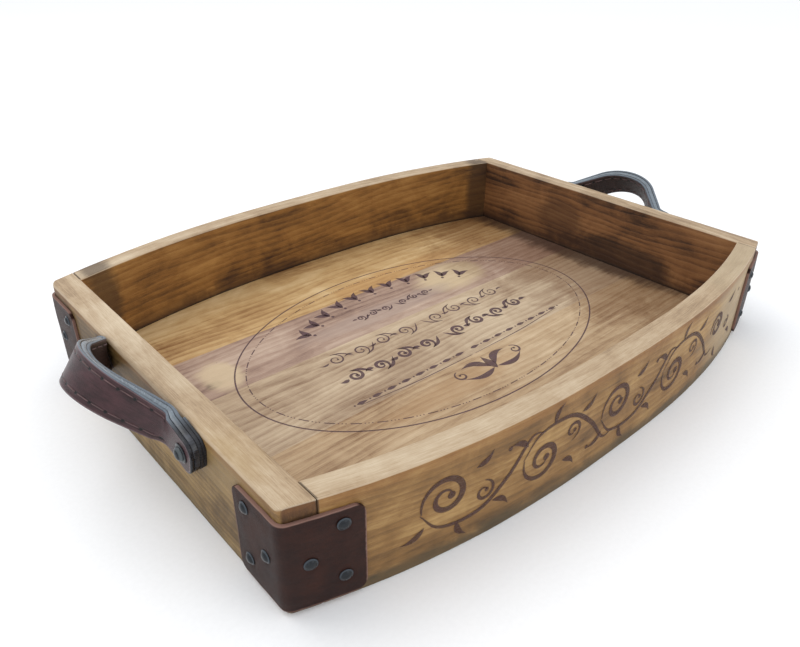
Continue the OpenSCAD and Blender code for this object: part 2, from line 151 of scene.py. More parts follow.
class Recipe:
    """A node material that is being put together."""

    def __init__(self, name: str) -> None:
        """Starts a material with one principled shader.

        Args:
            name: The material's name.
        """
        self.material = bpy.data.materials.new(name)
        self.material.use_nodes = True
        self.tree = self.material.node_tree
        self.shader = self.tree.nodes["Principled BSDF"]

    def node(self, kind: str, settings: dict | None = None, sockets: dict | None = None,
             output: int = 0) -> Wire:
        """Adds one node.

        Args:
            kind: The node's type.
            settings: Properties to set first; "stops" holds a ramp's (place, colour) pairs.
            sockets: Values or wires by socket name or number.
            output: Number of the output to return.

        Returns:
            The chosen output.
        """
        made = self.tree.nodes.new(kind)
        for key, value in (settings or {}).items():
            if key == "stops":
                stops = made.color_ramp.elements
                while len(stops) < len(value):
                    stops.new(1.0)
                for stop, (place, colour) in zip(stops, value):
                    stop.position, stop.color = place, colour
            else:
                setattr(made, key, value)
        for key, value in (sockets or {}).items():
            if isinstance(value, Wire):
                self.tree.links.new(value.socket, made.inputs[key])
            else:
                made.inputs[key].default_value = value
        return Wire(self, made.outputs[output])

    def math(self, operation: str, *values: Wire | float) -> Wire:
        """Adds a Math node on one to three values."""
        return self.node("ShaderNodeMath", {"operation": operation}, dict(enumerate(values)))

    def mix(self, share: Wire | float, first: Wire | tuple, second: Wire | tuple,
            blend: str = "MIX") -> Wire:
        """Mixes two colours by a share from 0, the first, to 1, the second."""
        return self.node("ShaderNodeMix", {"data_type": "RGBA", "blend_type": blend},
                         {0: share, 6: first, 7: second}, 2)

    def step(self, value: Wire, low: float, high: float) -> Wire:
        """Rises smoothly from 0 at low to 1 at high; it falls where low is the larger."""
        swap = low > high
        sockets = {0: value, 1: min(low, high), 2: max(low, high),
                   3: 1.0 if swap else 0.0, 4: 0.0 if swap else 1.0}
        return self.node("ShaderNodeMapRange", {"interpolation_type": "SMOOTHSTEP"}, sockets)

    def joined(self, *parts: Wire | float) -> Wire:
        """Makes a vector of three values."""
        return self.node("ShaderNodeCombineXYZ", None, dict(enumerate(parts)))

    def parts(self, vector: Wire) -> tuple[Wire, Wire, Wire]:
        """Splits a vector into its three values."""
        node = self.node("ShaderNodeSeparateXYZ", None, {0: vector}).socket.node
        return tuple(Wire(self, out) for out in node.outputs)

    def grit(self, place: Wire, detail: float = 2.0, rough: float = 0.5,
             twist: float = 0.0) -> Wire:
        """Noise around 0, from about -0.5 to 0.5, at a place in units of its own size."""
        sockets = {"Vector": place, "Scale": 1.0, "Detail": detail, "Roughness": rough,
                   "Distortion": twist}
        return self.node("ShaderNodeTexNoise", None, sockets) - 0.5

    def place(self) -> tuple[Wire, Wire, Wire]:
        """Returns X, Y and Z on the object in millimetres."""
        where = self.node("ShaderNodeTexCoord", output=3)
        return self.parts(self.node("ShaderNodeVectorMath", {"operation": "SCALE"},
                                    {0: where, 3: 1 / MM}))

    def flat(self) -> tuple[Wire, Wire]:
        """Returns the piece's own two map values in millimetres."""
        where = self.node("ShaderNodeTexCoord", output=2)
        across = self.node("ShaderNodeVectorMath", {"operation": "SCALE"}, {0: where, 3: 1 / MM})
        return self.parts(across)[:2]

    def facing(self) -> tuple[Wire, Wire, Wire]:
        """Returns the three values of the surface's normal."""
        return self.parts(self.node("ShaderNodeNewGeometry", output=1))

    def finish(self, colour: Wire, rough: Wire | float, height: Wire | None = None,
               depth: float = 0.3, **fixed: float) -> bpy.types.Material:
        """Connects the shader and returns the material.

        Args:
            colour: Base colour.
            rough: Roughness.
            height: Relief from about 0 to 1.
            depth: Relief in millimetres between height 0 and 1.
            fixed: Values set directly on the shader's own sockets, with _ for a blank.

        Returns:
            The finished material.
        """
        self.tree.links.new(colour.socket, self.shader.inputs["Base Color"])
        if isinstance(rough, Wire):
            self.tree.links.new(rough.socket, self.shader.inputs["Roughness"])
        else:
            self.shader.inputs["Roughness"].default_value = rough
        for key, value in fixed.items():
            self.shader.inputs[key.replace("_", " ")].default_value = value
        if height is not None:
            bump = self.node("ShaderNodeBump", None,
                             {"Strength": 1.0, "Distance": depth * MM, "Height": height})
            self.tree.links.new(bump.socket, self.shader.inputs["Normal"])
        return self.material


# ----------------------------------------------------------------- wood finishes


@dataclass(frozen=True)
class Palette:
    """Tones of one kind of wooden face, from its darkest streak to its palest."""

    dark: Tone
    middle: Tone
    pale: Tone

    def ramp(self, recipe: Recipe, tone: Wire) -> Wire:
        """Colours a tone of 0 to 1 with this palette."""
        stops = [(0.08, linear(self.dark)), (0.5, linear(self.middle)), (0.92, linear(self.pale))]
        return recipe.node("ShaderNodeValToRGB", {"stops": stops}, {0: tone})


@dataclass(frozen=True)
class TonePatch:
    """A soft patch of another tone at a place on the tray; some are real stains, others painted
    shade.
    """

    at: tuple[float, float, float]
    reach: tuple[float, float, float]
    tone: Tone
    strength: float = 0.6


@dataclass(frozen=True)
class Knot:
    """A knot that bends the grain round it, seen on a face that looks up."""

    at: Spot
    radius: float = 5.0
    reach: float = 16.0
    tone: Tone = (72, 50, 42)


# Top palette, paler than the sides: partly the rim's worn wood, partly painted top light.
RIM = Palette((96, 68, 40), (172, 147, 116), (206, 188, 160))
END_GRAIN = Palette((34, 20, 8), (70, 46, 20), (106, 76, 40))


@dataclass(frozen=True)
class WoodFinish:
    """Waxed softwood whose grain runs through the whole board.

    Its faces that look up, outwards and inwards each have their own palette. Figure says how
    strongly its rings and streaks show."""

    name: str
    grain: Grain
    outer: Palette
    inner: Palette
    top: Palette = RIM
    outward: tuple[float, float] = (0.0, 0.0)
    heart: Spot = (70.0, -60.0)
    ring: float = 5.2
    slant: float = 0.0
    bow: "Outline | None" = None
    foot_darkening: float = 0.0
    corner_shade: float = 0.0
    joint_x: float = 231.0
    figure: float = 1.0
    tone_patches: tuple[TonePatch, ...] = ()
    knots: tuple[Knot, ...] = ()

    def _ring_tone(self, r: Recipe, along: Wire, across: Wire, up: Wire) -> Wire:
        """Darkness of the late wood, 0 to 1, of rings about the board's heart."""
        wander = r.grit(r.joined(along / 110, across / 26, up / 26), 2.0)
        sway = r.grit(r.joined(along / 330, across / 90, up / 90), 1.0)
        aside = across - self.heart[0] + along * self.slant
        spread = r.math("SQRT", aside ** 2 + (up - self.heart[1]) ** 2)
        phase = r.math("FRACT", (spread + wander * 13 + sway * 34) / self.ring)
        return r.step(phase, 0.15, 0.86) * r.step(phase, 1.0, 0.9)

    def _knotted(self, r: Recipe, x: Wire, y: Wire, tone: Wire, colour: Wire) -> tuple[Wire, Wire]:
        """Lays this finish's knots over the tone and the colour."""
        for knot in self.knots:
            ripple = r.grit(r.joined(x / 9, y / 9, knot.at[0]), 2.0)
            out = r.math("SQRT", ((x - knot.at[0]) / 1.7) ** 2 + (y - knot.at[1]) ** 2) + ripple * 5
            eddy = r.math("SINE", out * (FULL_TURN / 3.4)) * r.step(out, knot.reach, knot.radius)
            tone = tone + eddy * 0.16
            core = r.step(out, knot.radius * 1.15, knot.radius * 0.45)
            colour = r.mix(core * 0.9, colour, linear(knot.tone))
        return tone, colour

    def _marked(self, r: Recipe, colour: Wire, place: tuple[Wire, Wire, Wire],
                faces: tuple[Wire, Wire], noises: tuple[Wire, Wire]) -> Wire:
        """Lays real stains and painted shade patches, painted shade in the well's corners and the
        outer faces' darker foot and warmer top band over a colour.

        Args:
            r: The recipe.
            colour: The wood's own colour.
            place: X, Y and Z on the object in millimetres.
            faces: How far the face looks up, and how far it looks outwards.
            noises: Blotches and streaks.

        Returns:
            The marked colour.
        """
        x, y, z = place
        up, out = faces
        blotch, streak = noises
        # Tone patches: real stains, and painted shade where the finishes place it.
        for tone_patch in self.tone_patches:
            gap = [(c - at) / reach for c, at, reach in zip((x, y, z), tone_patch.at, tone_patch.reach)]
            far = r.math("SQRT", gap[0] ** 2 + gap[1] ** 2 + gap[2] ** 2)
            mask = r.step(far + blotch * 0.9 + streak * 0.5, 1.05, 0.55)
            colour = r.mix(mask * tone_patch.strength, colour, linear(tone_patch.tone))
        # Painted shade: inner faces darken towards the floor, and the dark line along their foot is
        # partly the joint, partly painted contact shade.
        if self.corner_shade:
            low = r.step(z + blotch * 34, 31, 13) * (1 - out) * (1 - up)
            seam = r.step(z + blotch * 3, 15.0, 11.8) * (1 - out) * (1 - up)
            colour = r.mix(low * (self.corner_shade * 0.75), colour, linear((54, 32, 20)))
            colour = r.mix(seam * 0.8, colour, linear((26, 17, 12)))
        # Outer faces turn darker and greyer towards their foot and warmer along their top band.
        if self.foot_darkening:
            foot = r.step(z + blotch * 17 + streak * 5, 13, 2.5) * out * (1 - up)
            crown = r.step(z + streak * 5, 66, 76) * out * (1 - up)
            colour = r.mix(foot * self.foot_darkening, colour, linear((70, 62, 44)))
            colour = r.mix(crown * 0.35, colour, linear((140, 88, 40)))
        return colour

    def make(self) -> bpy.types.Material:
        """Builds the material."""
        r = Recipe(self.name)
        x, y, z = r.place()
        nx, ny, nz = r.facing()
        if self.grain is Grain.CROSSWISE:
            along, across = y, x
        elif self.bow is not None:
            along, across = x, abs(y) - self.bow.shader_bow(x)
        else:
            along, across = x, y
        late = self._ring_tone(r, along, across, z) * self.figure
        broad = r.grit(r.joined(along / 150, across / 24, z / 24), 2.0)
        streak = r.grit(r.joined(along / 75, across / 3.4, z / 3.4), 3.0, 0.6, 0.3) * self.figure
        fibre = r.grit(r.joined(along / 13, across / 0.6, z / 0.6), 3.0, 0.65)
        blotch = r.grit(r.joined(x / 40, y / 40, z / 30), 6.0, 0.66, 0.5)
        pore = r.step(r.grit(r.joined(along / 3.2, across / 0.34, z / 0.34), 1.0), 0.16, 0.26)
        tone = (0.56 + broad * 1.1 + streak * 0.5 + fibre * 0.5 + blotch * 0.95 - late * 0.2
                - pore * 0.16)
        up = r.step(nz, 0.55, 0.85)
        out = r.step(nx * self.outward[0] + ny * self.outward[1], -0.15, 0.15)
        side = r.mix(out, self.inner.ramp(r, tone), self.outer.ramp(r, tone))
        # Faces that look up take a lifted tone and the paler top palette: partly worn wood, partly
        # painted top light.
        lift = tone * 0.75 + 0.14 + fibre * 0.3
        if self.grain is Grain.CROSSWISE:
            arcs = r.grit(r.joined(x / 1.1, y / 30, z / 5), 3.0, 0.7)
            cut = END_GRAIN.ramp(r, 0.5 + arcs * 0.9 + blotch * 0.8 - late * 0.25)
            side = r.mix(r.step(abs(ny), 0.6, 0.85), side, cut)
        colour = r.mix(up, side, self.top.ramp(r, lift))
        tone, colour = self._knotted(r, x, y, tone, colour)
        colour = self._marked(r, colour, (x, y, z), (up, out), (blotch, streak))
        seam = r.step(abs(abs(x) - self.joint_x), 1.0, 0.25) * r.step(abs(y), 148, 151)
        colour = r.mix(seam * 0.8, colour, linear((48, 30, 16)))
        worn = r.step(nz * (1 - nz) + fibre * 0.12 + blotch * 0.16, 0.10, 0.26)
        colour = r.mix(worn * 0.5, colour, linear((218, 200, 172)))
        nick = r.step(r.grit(r.joined(x / 2.2, y / 2.2, z / 2.2), 2.0) + blotch * 0.1, 0.27, 0.33)
        colour = r.mix(nick * 0.55, colour, linear((74, 50, 32)))
        rough = 0.56 + fibre * 0.25 - blotch * 0.18
        height = 0.5 + fibre * 0.6 - late * 0.28 + streak * 0.35 - nick * 0.6
        return r.finish(colour, rough, height, 0.32, Specular_IOR_Level=0.38)


WARM = Palette((58, 37, 16), (134, 98, 52), (184, 149, 94))
# Painted shade: a darker copy of WARM for the end boards' outer faces, standing in for the handles'
# shade and the dim light there.
SHADED_END_OUTER = Palette((42, 29, 13), (106, 81, 43), (166, 136, 84))
DEEP = Palette((58, 33, 14), (140, 96, 44), (178, 132, 72))
# Painted shade: a darker, greyer copy of DEEP for the right board's inner face.
SHADED_RIGHT_INNER = Palette((46, 28, 18), (122, 82, 48), (150, 108, 68))
GOLDEN = Palette((122, 78, 36), (186, 150, 100), (216, 188, 142))
ROSY = Palette((92, 64, 56), (160, 132, 114), (194, 170, 150))
HONEY = Palette((112, 76, 44), (176, 147, 112), (206, 182, 148))
PALE = Palette((118, 88, 62), (175, 151, 123), (206, 186, 156))


# -------------------------------------------------------------- leather and metal


@dataclass(frozen=True)
class LeatherFinish:
    """Oiled leather with a fine pebble, scuffs and worn or painted edges."""

    name: str
    tone: Tone
    lift: Tone
    rough: float = 0.42
    size: tuple[float, float, float, float] = (0.0, 0.0, 0.0, 0.0)
    worn: Tone = (150, 116, 104)
    worn_strength: float = 0.7

    def make(self) -> bpy.types.Material:
        """Builds the material; size holds the map's lowest and highest corners."""
        r = Recipe(self.name)
        u, v = r.flat()
        x, y, z = r.place()
        cloud = r.grit(r.joined(x / 16, y / 16, z / 16), 4.0, 0.6)
        fine = r.grit(r.joined(x / 1.4, y / 1.4, z / 1.4), 2.0, 0.6)
        scuff = r.grit(r.joined(u / 9, v / 1.6, z / 40), 3.0, 0.65)
        pebble = r.node("ShaderNodeTexVoronoi", {"feature": "DISTANCE_TO_EDGE"},
                        {"Vector": r.joined(x, y, z), "Scale": 1.15})
        colour = r.mix(r.step(cloud + scuff * 0.5, -0.28, 0.32), linear(self.tone),
                       linear(self.lift))
        # Painted shade: the pebble's creases are darkened.
        crease = r.step(pebble, 0.16, 0.0)
        colour = r.mix(crease * 0.35, colour, linear(self.tone, 0.55))
        low_u, low_v, high_u, high_v = self.size
        edge = r.math("MINIMUM", r.math("MINIMUM", u - low_u, high_u - u),
                      r.math("MINIMUM", v - low_v, high_v - v))
        rub = r.step(edge + scuff * 1.2 + cloud * 0.8, 1.15, 0.1)
        colour = r.mix(rub * self.worn_strength, colour, linear(self.worn))
        rough = self.rough + cloud * 0.16 + fine * 0.08 + rub * 0.08
        height = 0.6 - crease * 0.35 + fine * 0.35 + scuff * 0.3
        return r.finish(colour, rough, height, 0.12, Specular_IOR_Level=0.17)


@dataclass(frozen=True)
class StrapFinish:
    """Leather of a strap's face or lining, with painted edges and stitch holes, painted shade in
    its holes, furrows and pressed lines, and a painted sky reflection on its edges.
    """

    name: str
    tone: Tone
    lift: Tone
    holes: tuple[float, ...]
    rows: tuple[float, ...]
    half_width: float
    half_length: float
    tab_round: float
    grid: float = 0.0
    rough: float = 0.36
    paint: Tone = (27, 28, 33)

    def make(self) -> bpy.types.Material:
        """Builds the material on the strap's own map: length, then width."""
        r = Recipe(self.name)
        u, v = r.flat()
        cloud = r.grit(r.joined(u / 15, v / 10, 0.0), 4.0, 0.6)
        fine = r.grit(r.joined(u / 1.1, v / 1.1, 3.0), 2.0, 0.6)
        scuff = r.grit(r.joined(u / 12, v / 1.3, 7.0), 3.0, 0.65)
        colour = r.mix(r.step(cloud + scuff * 0.6, -0.3, 0.32), linear(self.tone),
                       linear(self.lift))
        height = 0.6 + fine * 0.3 + scuff * 0.3
        pebble = r.node("ShaderNodeTexVoronoi", {"feature": "DISTANCE_TO_EDGE"},
                        {"Vector": r.joined(u, v, 0.0), "Scale": 1.05})
        crease = r.step(pebble, 0.14, 0.0)
        # Painted shade: the lining's pressed grid lines are darkened.
        if self.grid:
            lines = [r.step(abs(r.math("FRACT", c / self.grid + 40.5) - 0.5), 0.34, 0.5)
                     for c in (u, v)]
            press = r.math("MAXIMUM", *lines)
            height = height - press * 0.8
            colour = r.mix(press * 0.6, colour, linear(self.tone, 0.45))
        pitch = self.holes[1] - self.holes[0]
        along = (r.math("FRACT", (u - self.holes[0]) / pitch + 40.5) - 0.5) * pitch
        inside = r.step(abs(u), self.holes[-1] + 2.2, self.holes[-1] + 1.2)
        # Painted shade: the thread's furrows are darkened and the stitch holes painted near black.
        for row in self.rows:
            off = abs(v - row)
            hole = r.step(r.math("SQRT", along ** 2 + off ** 2), 1.35, 0.75) * inside
            furrow = r.step(off, 1.15, 0.3) * inside
            height = height - hole * 1.6 - furrow * 0.5
            colour = r.mix(furrow * 0.45, colour, linear(self.tone, 0.6))
            colour = r.mix(hole, colour, linear((12, 8, 8)))
        height = height - crease * 0.3
        over = [abs(c) - (size - self.tab_round)
                for c, size in ((u, self.half_length), (v, self.half_width))]
        beyond = [r.math("MAXIMUM", c, 0.0) for c in over]
        near = (r.math("SQRT", beyond[0] ** 2 + beyond[1] ** 2)
                + r.math("MINIMUM", r.math("MAXIMUM", *over), 0.0))
        rim = near - self.tab_round + fine * 0.35
        rub = r.step(rim, -1.5, -0.6)
        paint = r.step(rim, -0.75, -0.45)
        colour = r.mix(rub * 0.65, colour, linear((132, 104, 108)))
        # Painted reflection: the edge paint turns blue-grey where it looks up along the arch, as if
        # it mirrored the sky.
        sky = r.step(r.facing()[2] + fine * 0.4 + cloud * 0.5, 0.3, 0.95) * r.step(abs(u), 84, 66)
        edge = r.mix(sky * 0.75, linear(self.paint), linear((112, 122, 132)))
        colour = r.mix(paint, colour, edge)
        rough = (self.rough + cloud * 0.14 + fine * 0.06) - paint * 0.1
        return r.finish(colour, rough, height, 0.16, Specular_IOR_Level=0.36)


@dataclass(frozen=True)
class PaintedEdgeFinish:
    """Glossy edge paint over pressed leather board, with fine scrape lines and a painted blue-grey
    sheen where it looks up.
    """

    name: str = "edge_paint"
    tone: Tone = (25, 26, 31)
    lift: Tone = (58, 62, 72)
    painted_sheen: Tone = (120, 131, 140)

    def make(self) -> bpy.types.Material:
        """Builds the material."""
        r = Recipe(self.name)
        u, v = r.flat()
        x, y, z = r.place()
        scrape = r.grit(r.joined(u / 14, z / 0.7, v / 30), 3.0, 0.6)
        cloud = r.grit(r.joined(x / 9, y / 9, z / 9), 3.0, 0.6)
        colour = r.mix(r.step(scrape + cloud, -0.1, 0.45), linear(self.tone), linear(self.lift))
        # Painted highlight: a blue-grey sheen on the parts of the arch that look up.
        painted_sheen = (r.step(r.facing()[2] + scrape * 0.7 + cloud * 0.5, 0.25, 0.95)
                 * r.step(abs(u), 84, 66))
        colour = r.mix(painted_sheen * 0.8, colour, linear(self.painted_sheen))
        return r.finish(colour, 0.27 + cloud * 0.2 + scrape * 0.15, 0.5 + scrape * 0.9, 0.14,
                        Specular_IOR_Level=0.6)


@dataclass(frozen=True)
class ThreadFinish:
    """Waxed twisted thread."""

    name: str = "waxed_thread"
    tone: Tone = (120, 90, 90)

    def make(self) -> bpy.types.Material:
        """Builds the material on the thread's own map: length, then way round."""
        r = Recipe(self.name)
        u, v = r.flat()
        x, y, z = r.place()
        ply = r.math("SINE", (u + v * 1.2) * (FULL_TURN / 0.9))
        dirt = r.grit(r.joined(x / 6, y / 6, z / 6), 3.0)
        colour = r.mix(r.step(ply * 0.25 + dirt, -0.3, 0.4),
                       linear(self.tone, 0.6), linear(self.tone))
        return r.finish(colour, 0.6 + dirt * 0.2, 0.5 + ply * 0.4, 0.1)


@dataclass(frozen=True)
class BlackMetalFinish:
    """Black oxide on a pressed head, with a grey ring on its flange that is a painted reflection.
    """

    name: str = "black_oxide"
    tone: Tone = (26, 30, 34)
    rubbed_and_glint: Tone = (74, 82, 90)

    def make(self) -> bpy.types.Material:
        """Builds the material; the map's first value runs outwards from the middle."""
        r = Recipe(self.name)
        u = r.flat()[0]
        x, y, z = r.place()
        cloud = r.grit(r.joined(x / 3, y / 3, z / 3), 4.0, 0.65)
        fine = r.grit(r.joined(x / 0.5, y / 0.5, z / 0.5), 2.0)
        # Painted reflection: a grey ring round the head's flange.
        rim = r.step(u + cloud * 0.5, 3.0, 3.7) * r.step(u, 5.9, 4.5)
        colour = r.mix(r.step(cloud, 0.0, 0.4) * 0.5, linear(self.tone), linear((60, 66, 74)))
        colour = r.mix(rim * 0.6, colour, linear(self.rubbed_and_glint))
        return r.finish(colour, 0.24 + cloud * 0.25 + rim * 0.12, 0.5 + cloud * 0.6 + fine * 0.3,
                        0.12, Metallic=0.55, Specular_IOR_Level=0.6)


@dataclass(frozen=True)
class InkFinish:
    """Printed ink that has sunk into the grain and rubbed thin."""

    name: str
    tone: Tone
    cover: float

    def make(self) -> bpy.types.Material:
        """Builds the material; the wood below shows where the ink is thin."""
        r = Recipe(self.name)
        x, y, z = r.place()
        streak = r.grit(r.joined(x / 22, y / 1.1, z / 1.1), 3.0, 0.65)
        rubbed_and_glint = r.grit(r.joined(x / 17, y / 13, z / 13), 4.0, 0.65)
        colour = r.mix(r.step(streak, -0.2, 0.4), linear(self.tone), linear(self.tone, 1.25))
        cover = self.cover + streak * 0.55 + rubbed_and_glint * 0.35
        limited = r.node("ShaderNodeClamp", None, {0: cover, 1: 0.12, 2: 0.95})
        r.tree.links.new(limited.socket, r.shader.inputs["Alpha"])
        return r.finish(colour, 0.62 + streak * 0.2, 0.5 + streak * 0.5, 0.1,
                        Specular_IOR_Level=0.3)


@dataclass(frozen=True)
class RawWoodFinish:
    """Bare end grain of a dowel."""

    name: str = "raw_beech"

    def make(self) -> bpy.types.Material:
        """Builds the material."""
        r = Recipe(self.name)
        x, y, z = r.place()
        fleck = r.grit(r.joined(x / 8, y / 0.6, z / 0.6), 3.0)
        colour = r.mix(r.step(fleck, -0.3, 0.3), linear((176, 138, 96)), linear((214, 184, 144)))
        return r.finish(colour, 0.62 + fleck * 0.2, 0.5 + fleck * 0.6, 0.2)


@dataclass(frozen=True)
class PaperFinish:
    """Seamless pale studio floor."""

    name: str = "studio_floor"

    def make(self) -> bpy.types.Material:
        """Builds the material."""
        r = Recipe(self.name)
        x, y, z = r.place()
        tooth = r.grit(r.joined(x / 3, y / 3, z / 3), 2.0)
        colour = r.mix(r.step(tooth, -0.4, 0.4), (0.93, 0.93, 0.93, 1), (0.96, 0.96, 0.96, 1))
        return r.finish(colour, 0.9, Specular_IOR_Level=0.2)


# ---------------------------------------------------------------- modelling tools


def only(piece: bpy.types.Object | None = None) -> None:
    """Deselects everything, then selects one piece and makes it active."""
    for other in bpy.context.view_layer.objects:
        other.select_set(False)
    if piece is not None:
        piece.select_set(True)
        bpy.context.view_layer.objects.active = piece


def started(name: str) -> bpy.types.Object:
    """Names the primitive that was just added and returns it."""
    piece = bpy.context.active_object
    piece.name = name
    piece.data.name = name
    return piece


def grid(name: str, columns: int, rows: int) -> bpy.types.Object:
    """Adds a flat grid; its vertices run along the columns first, row by row."""
    only()
    bpy.ops.mesh.primitive_grid_add(x_subdivisions=columns, y_subdivisions=rows, size=1)
    return started(name)


def moved_to(piece: bpy.types.Object, points: np.ndarray) -> None:
    """Moves a piece's vertices, in their order, to points in millimetres."""
    piece.data.vertices.foreach_set("co", (points.reshape(-1, 3) * MM).astype(np.float32).ravel())
    piece.data.update()


def mapped(piece: bpy.types.Object, values: np.ndarray) -> None:
    """Writes two map values a vertex, in millimetres, as the piece's UV map."""
    layer = piece.data.uv_layers.active or piece.data.uv_layers.new(name="UVMap")
    corner = np.zeros(len(piece.data.loops), np.int32)
    piece.data.loops.foreach_get("vertex_index", corner)
    layer.data.foreach_set("uv", (values.reshape(-1, 2)[corner] * MM).astype(np.float32).ravel())


def in_edit(piece: bpy.types.Object, *steps: tuple) -> None:
    """Runs edit-mode operators on all of a piece.

    Args:
        piece: The mesh.
        steps: (operator, keyword values) pairs.
    """
    only(piece)
    bpy.ops.object.mode_set(mode="EDIT")
    bpy.ops.mesh.select_all(action="SELECT")
    for operator, values in steps:
        operator(**values)
    bpy.ops.object.mode_set(mode="OBJECT")


def tidied(piece: bpy.types.Object, reach: float = 0.002) -> None:
    """Merges doubles and turns every face outwards."""
    in_edit(piece, (bpy.ops.mesh.remove_doubles, {"threshold": reach * MM}),
            (bpy.ops.mesh.normals_make_consistent, {"inside": False}))


def modified(piece: bpy.types.Object, kind: str, **settings: object) -> None:
    """Adds a modifier with its settings and applies it."""
    only(piece)
    modifier = piece.modifiers.new(kind.title(), kind)
    for key, value in settings.items():
        setattr(modifier, key, value)
    bpy.ops.object.modifier_apply(modifier=modifier.name)


def smoothed(piece: bpy.types.Object, angle: float = 40.0) -> None:
    """Shades a piece smooth except over edges sharper than an angle in degrees."""
    only(piece)
    bpy.ops.object.shade_smooth_by_angle(angle=math.radians(angle))


def dressed(piece: bpy.types.Object, material: bpy.types.Material) -> None:
    """Gives a piece, or a node of the frame, one material all over."""
    if not piece.material_slots:
        piece.data.materials.append(material)
    for slot in piece.material_slots:
        slot.material = material


def placed(piece: bpy.types.Object, body: str, slot: str, *nodes: str) -> bpy.types.Object:
    """Makes a piece ride on a body and stand for nodes of the frame."""
    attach(piece, body)
    if nodes:
        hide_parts(*nodes)
    log.info("%s: %d faces on %s", piece.name, len(piece.data.polygons), body)
    return piece


def joined_pieces(name: str, pieces: list[bpy.types.Object]) -> bpy.types.Object:
    """Joins pieces into one object."""
    only(pieces[0])
    for piece in pieces:
        piece.select_set(True)
    bpy.ops.object.join()
    return started(name)


def copied(piece: bpy.types.Object, matrix: Matrix) -> bpy.types.Object:
    """Copies a piece with a mesh of its own, moved by a matrix."""
    twin = piece.copy()
    twin.data = piece.data.copy()
    bpy.context.scene.collection.objects.link(twin)
    twin.data.transform(matrix)
    return twin


def turned(name: str, profile: list[Spot], segments: int = 28) -> bpy.types.Object:
    """Turns a closed round piece about Z, as on a lathe.

    Args:
        name: The piece's name.
        profile: (radius, height) from the lowest ring to the highest, in millimetres.
        segments: Number of sides.

    Returns:
        The piece, whose map's first value is the distance from the axis.
    """
    only()
    radius, height = profile[0]
    bpy.ops.mesh.primitive_circle_add(vertices=segments, radius=radius * MM, fill_type="NGON",
                                      location=(0, 0, 0))
    piece = started(name)
    piece.data.transform(Matrix.Translation((0, 0, height * MM)))
    only(piece)
    bpy.ops.object.mode_set(mode="EDIT")
    bpy.ops.mesh.select_all(action="SELECT")
    for next_radius, next_height in profile[1:]:
        bpy.ops.mesh.extrude_region_move(
            TRANSFORM_OT_translate={"value": (0, 0, (next_height - height) * MM)})
        scale = next_radius / radius
        bpy.ops.transform.resize(value=(scale, scale, 1), center_override=(0, 0, next_height * MM))
        radius, height = next_radius, next_height
    bpy.ops.mesh.select_all(action="SELECT")
    bpy.ops.mesh.normals_make_consistent(inside=False)
    bpy.ops.object.mode_set(mode="OBJECT")
    spots = np.array([v.co for v in piece.data.vertices]) / MM
    mapped(piece, np.stack([np.hypot(spots[:, 0], spots[:, 1]), spots[:, 2]], axis=1))
    smoothed(piece, 50)
    return piece


def aimed(place: Vector, axis: Vector) -> Matrix:
    """Matrix that puts the origin at a place in millimetres with Z along an axis."""
    turn = axis.to_track_quat("Z", "Y").to_matrix().to_4x4()
    return Matrix.Translation(place * MM) @ turn


# ---------------------------------------------------------------- the wooden walls


@dataclass(frozen=True)
class Outline:
    """The tray's plan: straight ends and bowed sides."""

    half_length: float = 250.0
    half_depth: float = 159.0
    side_bow: float = 35.0
    exponent: float = 2.5
    board: float = 19.0
    stave: float = 17.0
    corner: float = 5.0

    @property
    def joint(self) -> float:
        """X of the joints between the end boards and the staves."""
        return self.half_length - self.board

    def bow(self, x: float) -> float:
        """Half depth of the outside at x."""
        return self.half_depth + self.side_bow * (1 - (abs(x) / self.half_length) ** self.exponent)

    def slope(self, x: float) -> float:
        """Slope of the bow at x, in radians."""
        share = (abs(x) / self.half_length) ** (self.exponent - 1)
        return math.atan(self.side_bow * self.exponent / self.half_length * share)

    def shader_bow(self, x: Wire) -> Wire:
        """The bow as shader maths, so that a stave's grain follows its bend."""
        share = (abs(x) / self.half_length) ** self.exponent
        return self.half_depth + self.side_bow * (1 - share)

    def corner_arc(self, steps: int = 8) -> list[tuple[Spot, Spot]]:
        """Points and normals of the rounded corner at +X, +Y, from the end face on."""
        end = self.slope(self.half_length)
        normal = (math.sin(end), math.cos(end))
        cx = self.half_length - self.corner
        cy = (normal[0] * self.half_length + normal[1] * self.half_depth - self.corner
              - cx * normal[0]) / normal[1]
        arc = []
        for i in range(steps + 1):
            a = (math.pi / 2 - end) * i / steps
            n = (math.cos(a), math.sin(a))
            arc.append(((cx + self.corner * n[0], cy + self.corner * n[1]), n))
        return arc

    def bow_points(self, start: float, stop: float, steps: int) -> list[tuple[Spot, Spot]]:
        """Points and normals of the bow at +Y from one X above 0 to another."""
        return [((float(x), self.bow(x)), (math.sin(self.slope(x)), math.cos(self.slope(x))))
                for x in np.linspace(start, stop, steps + 1)]


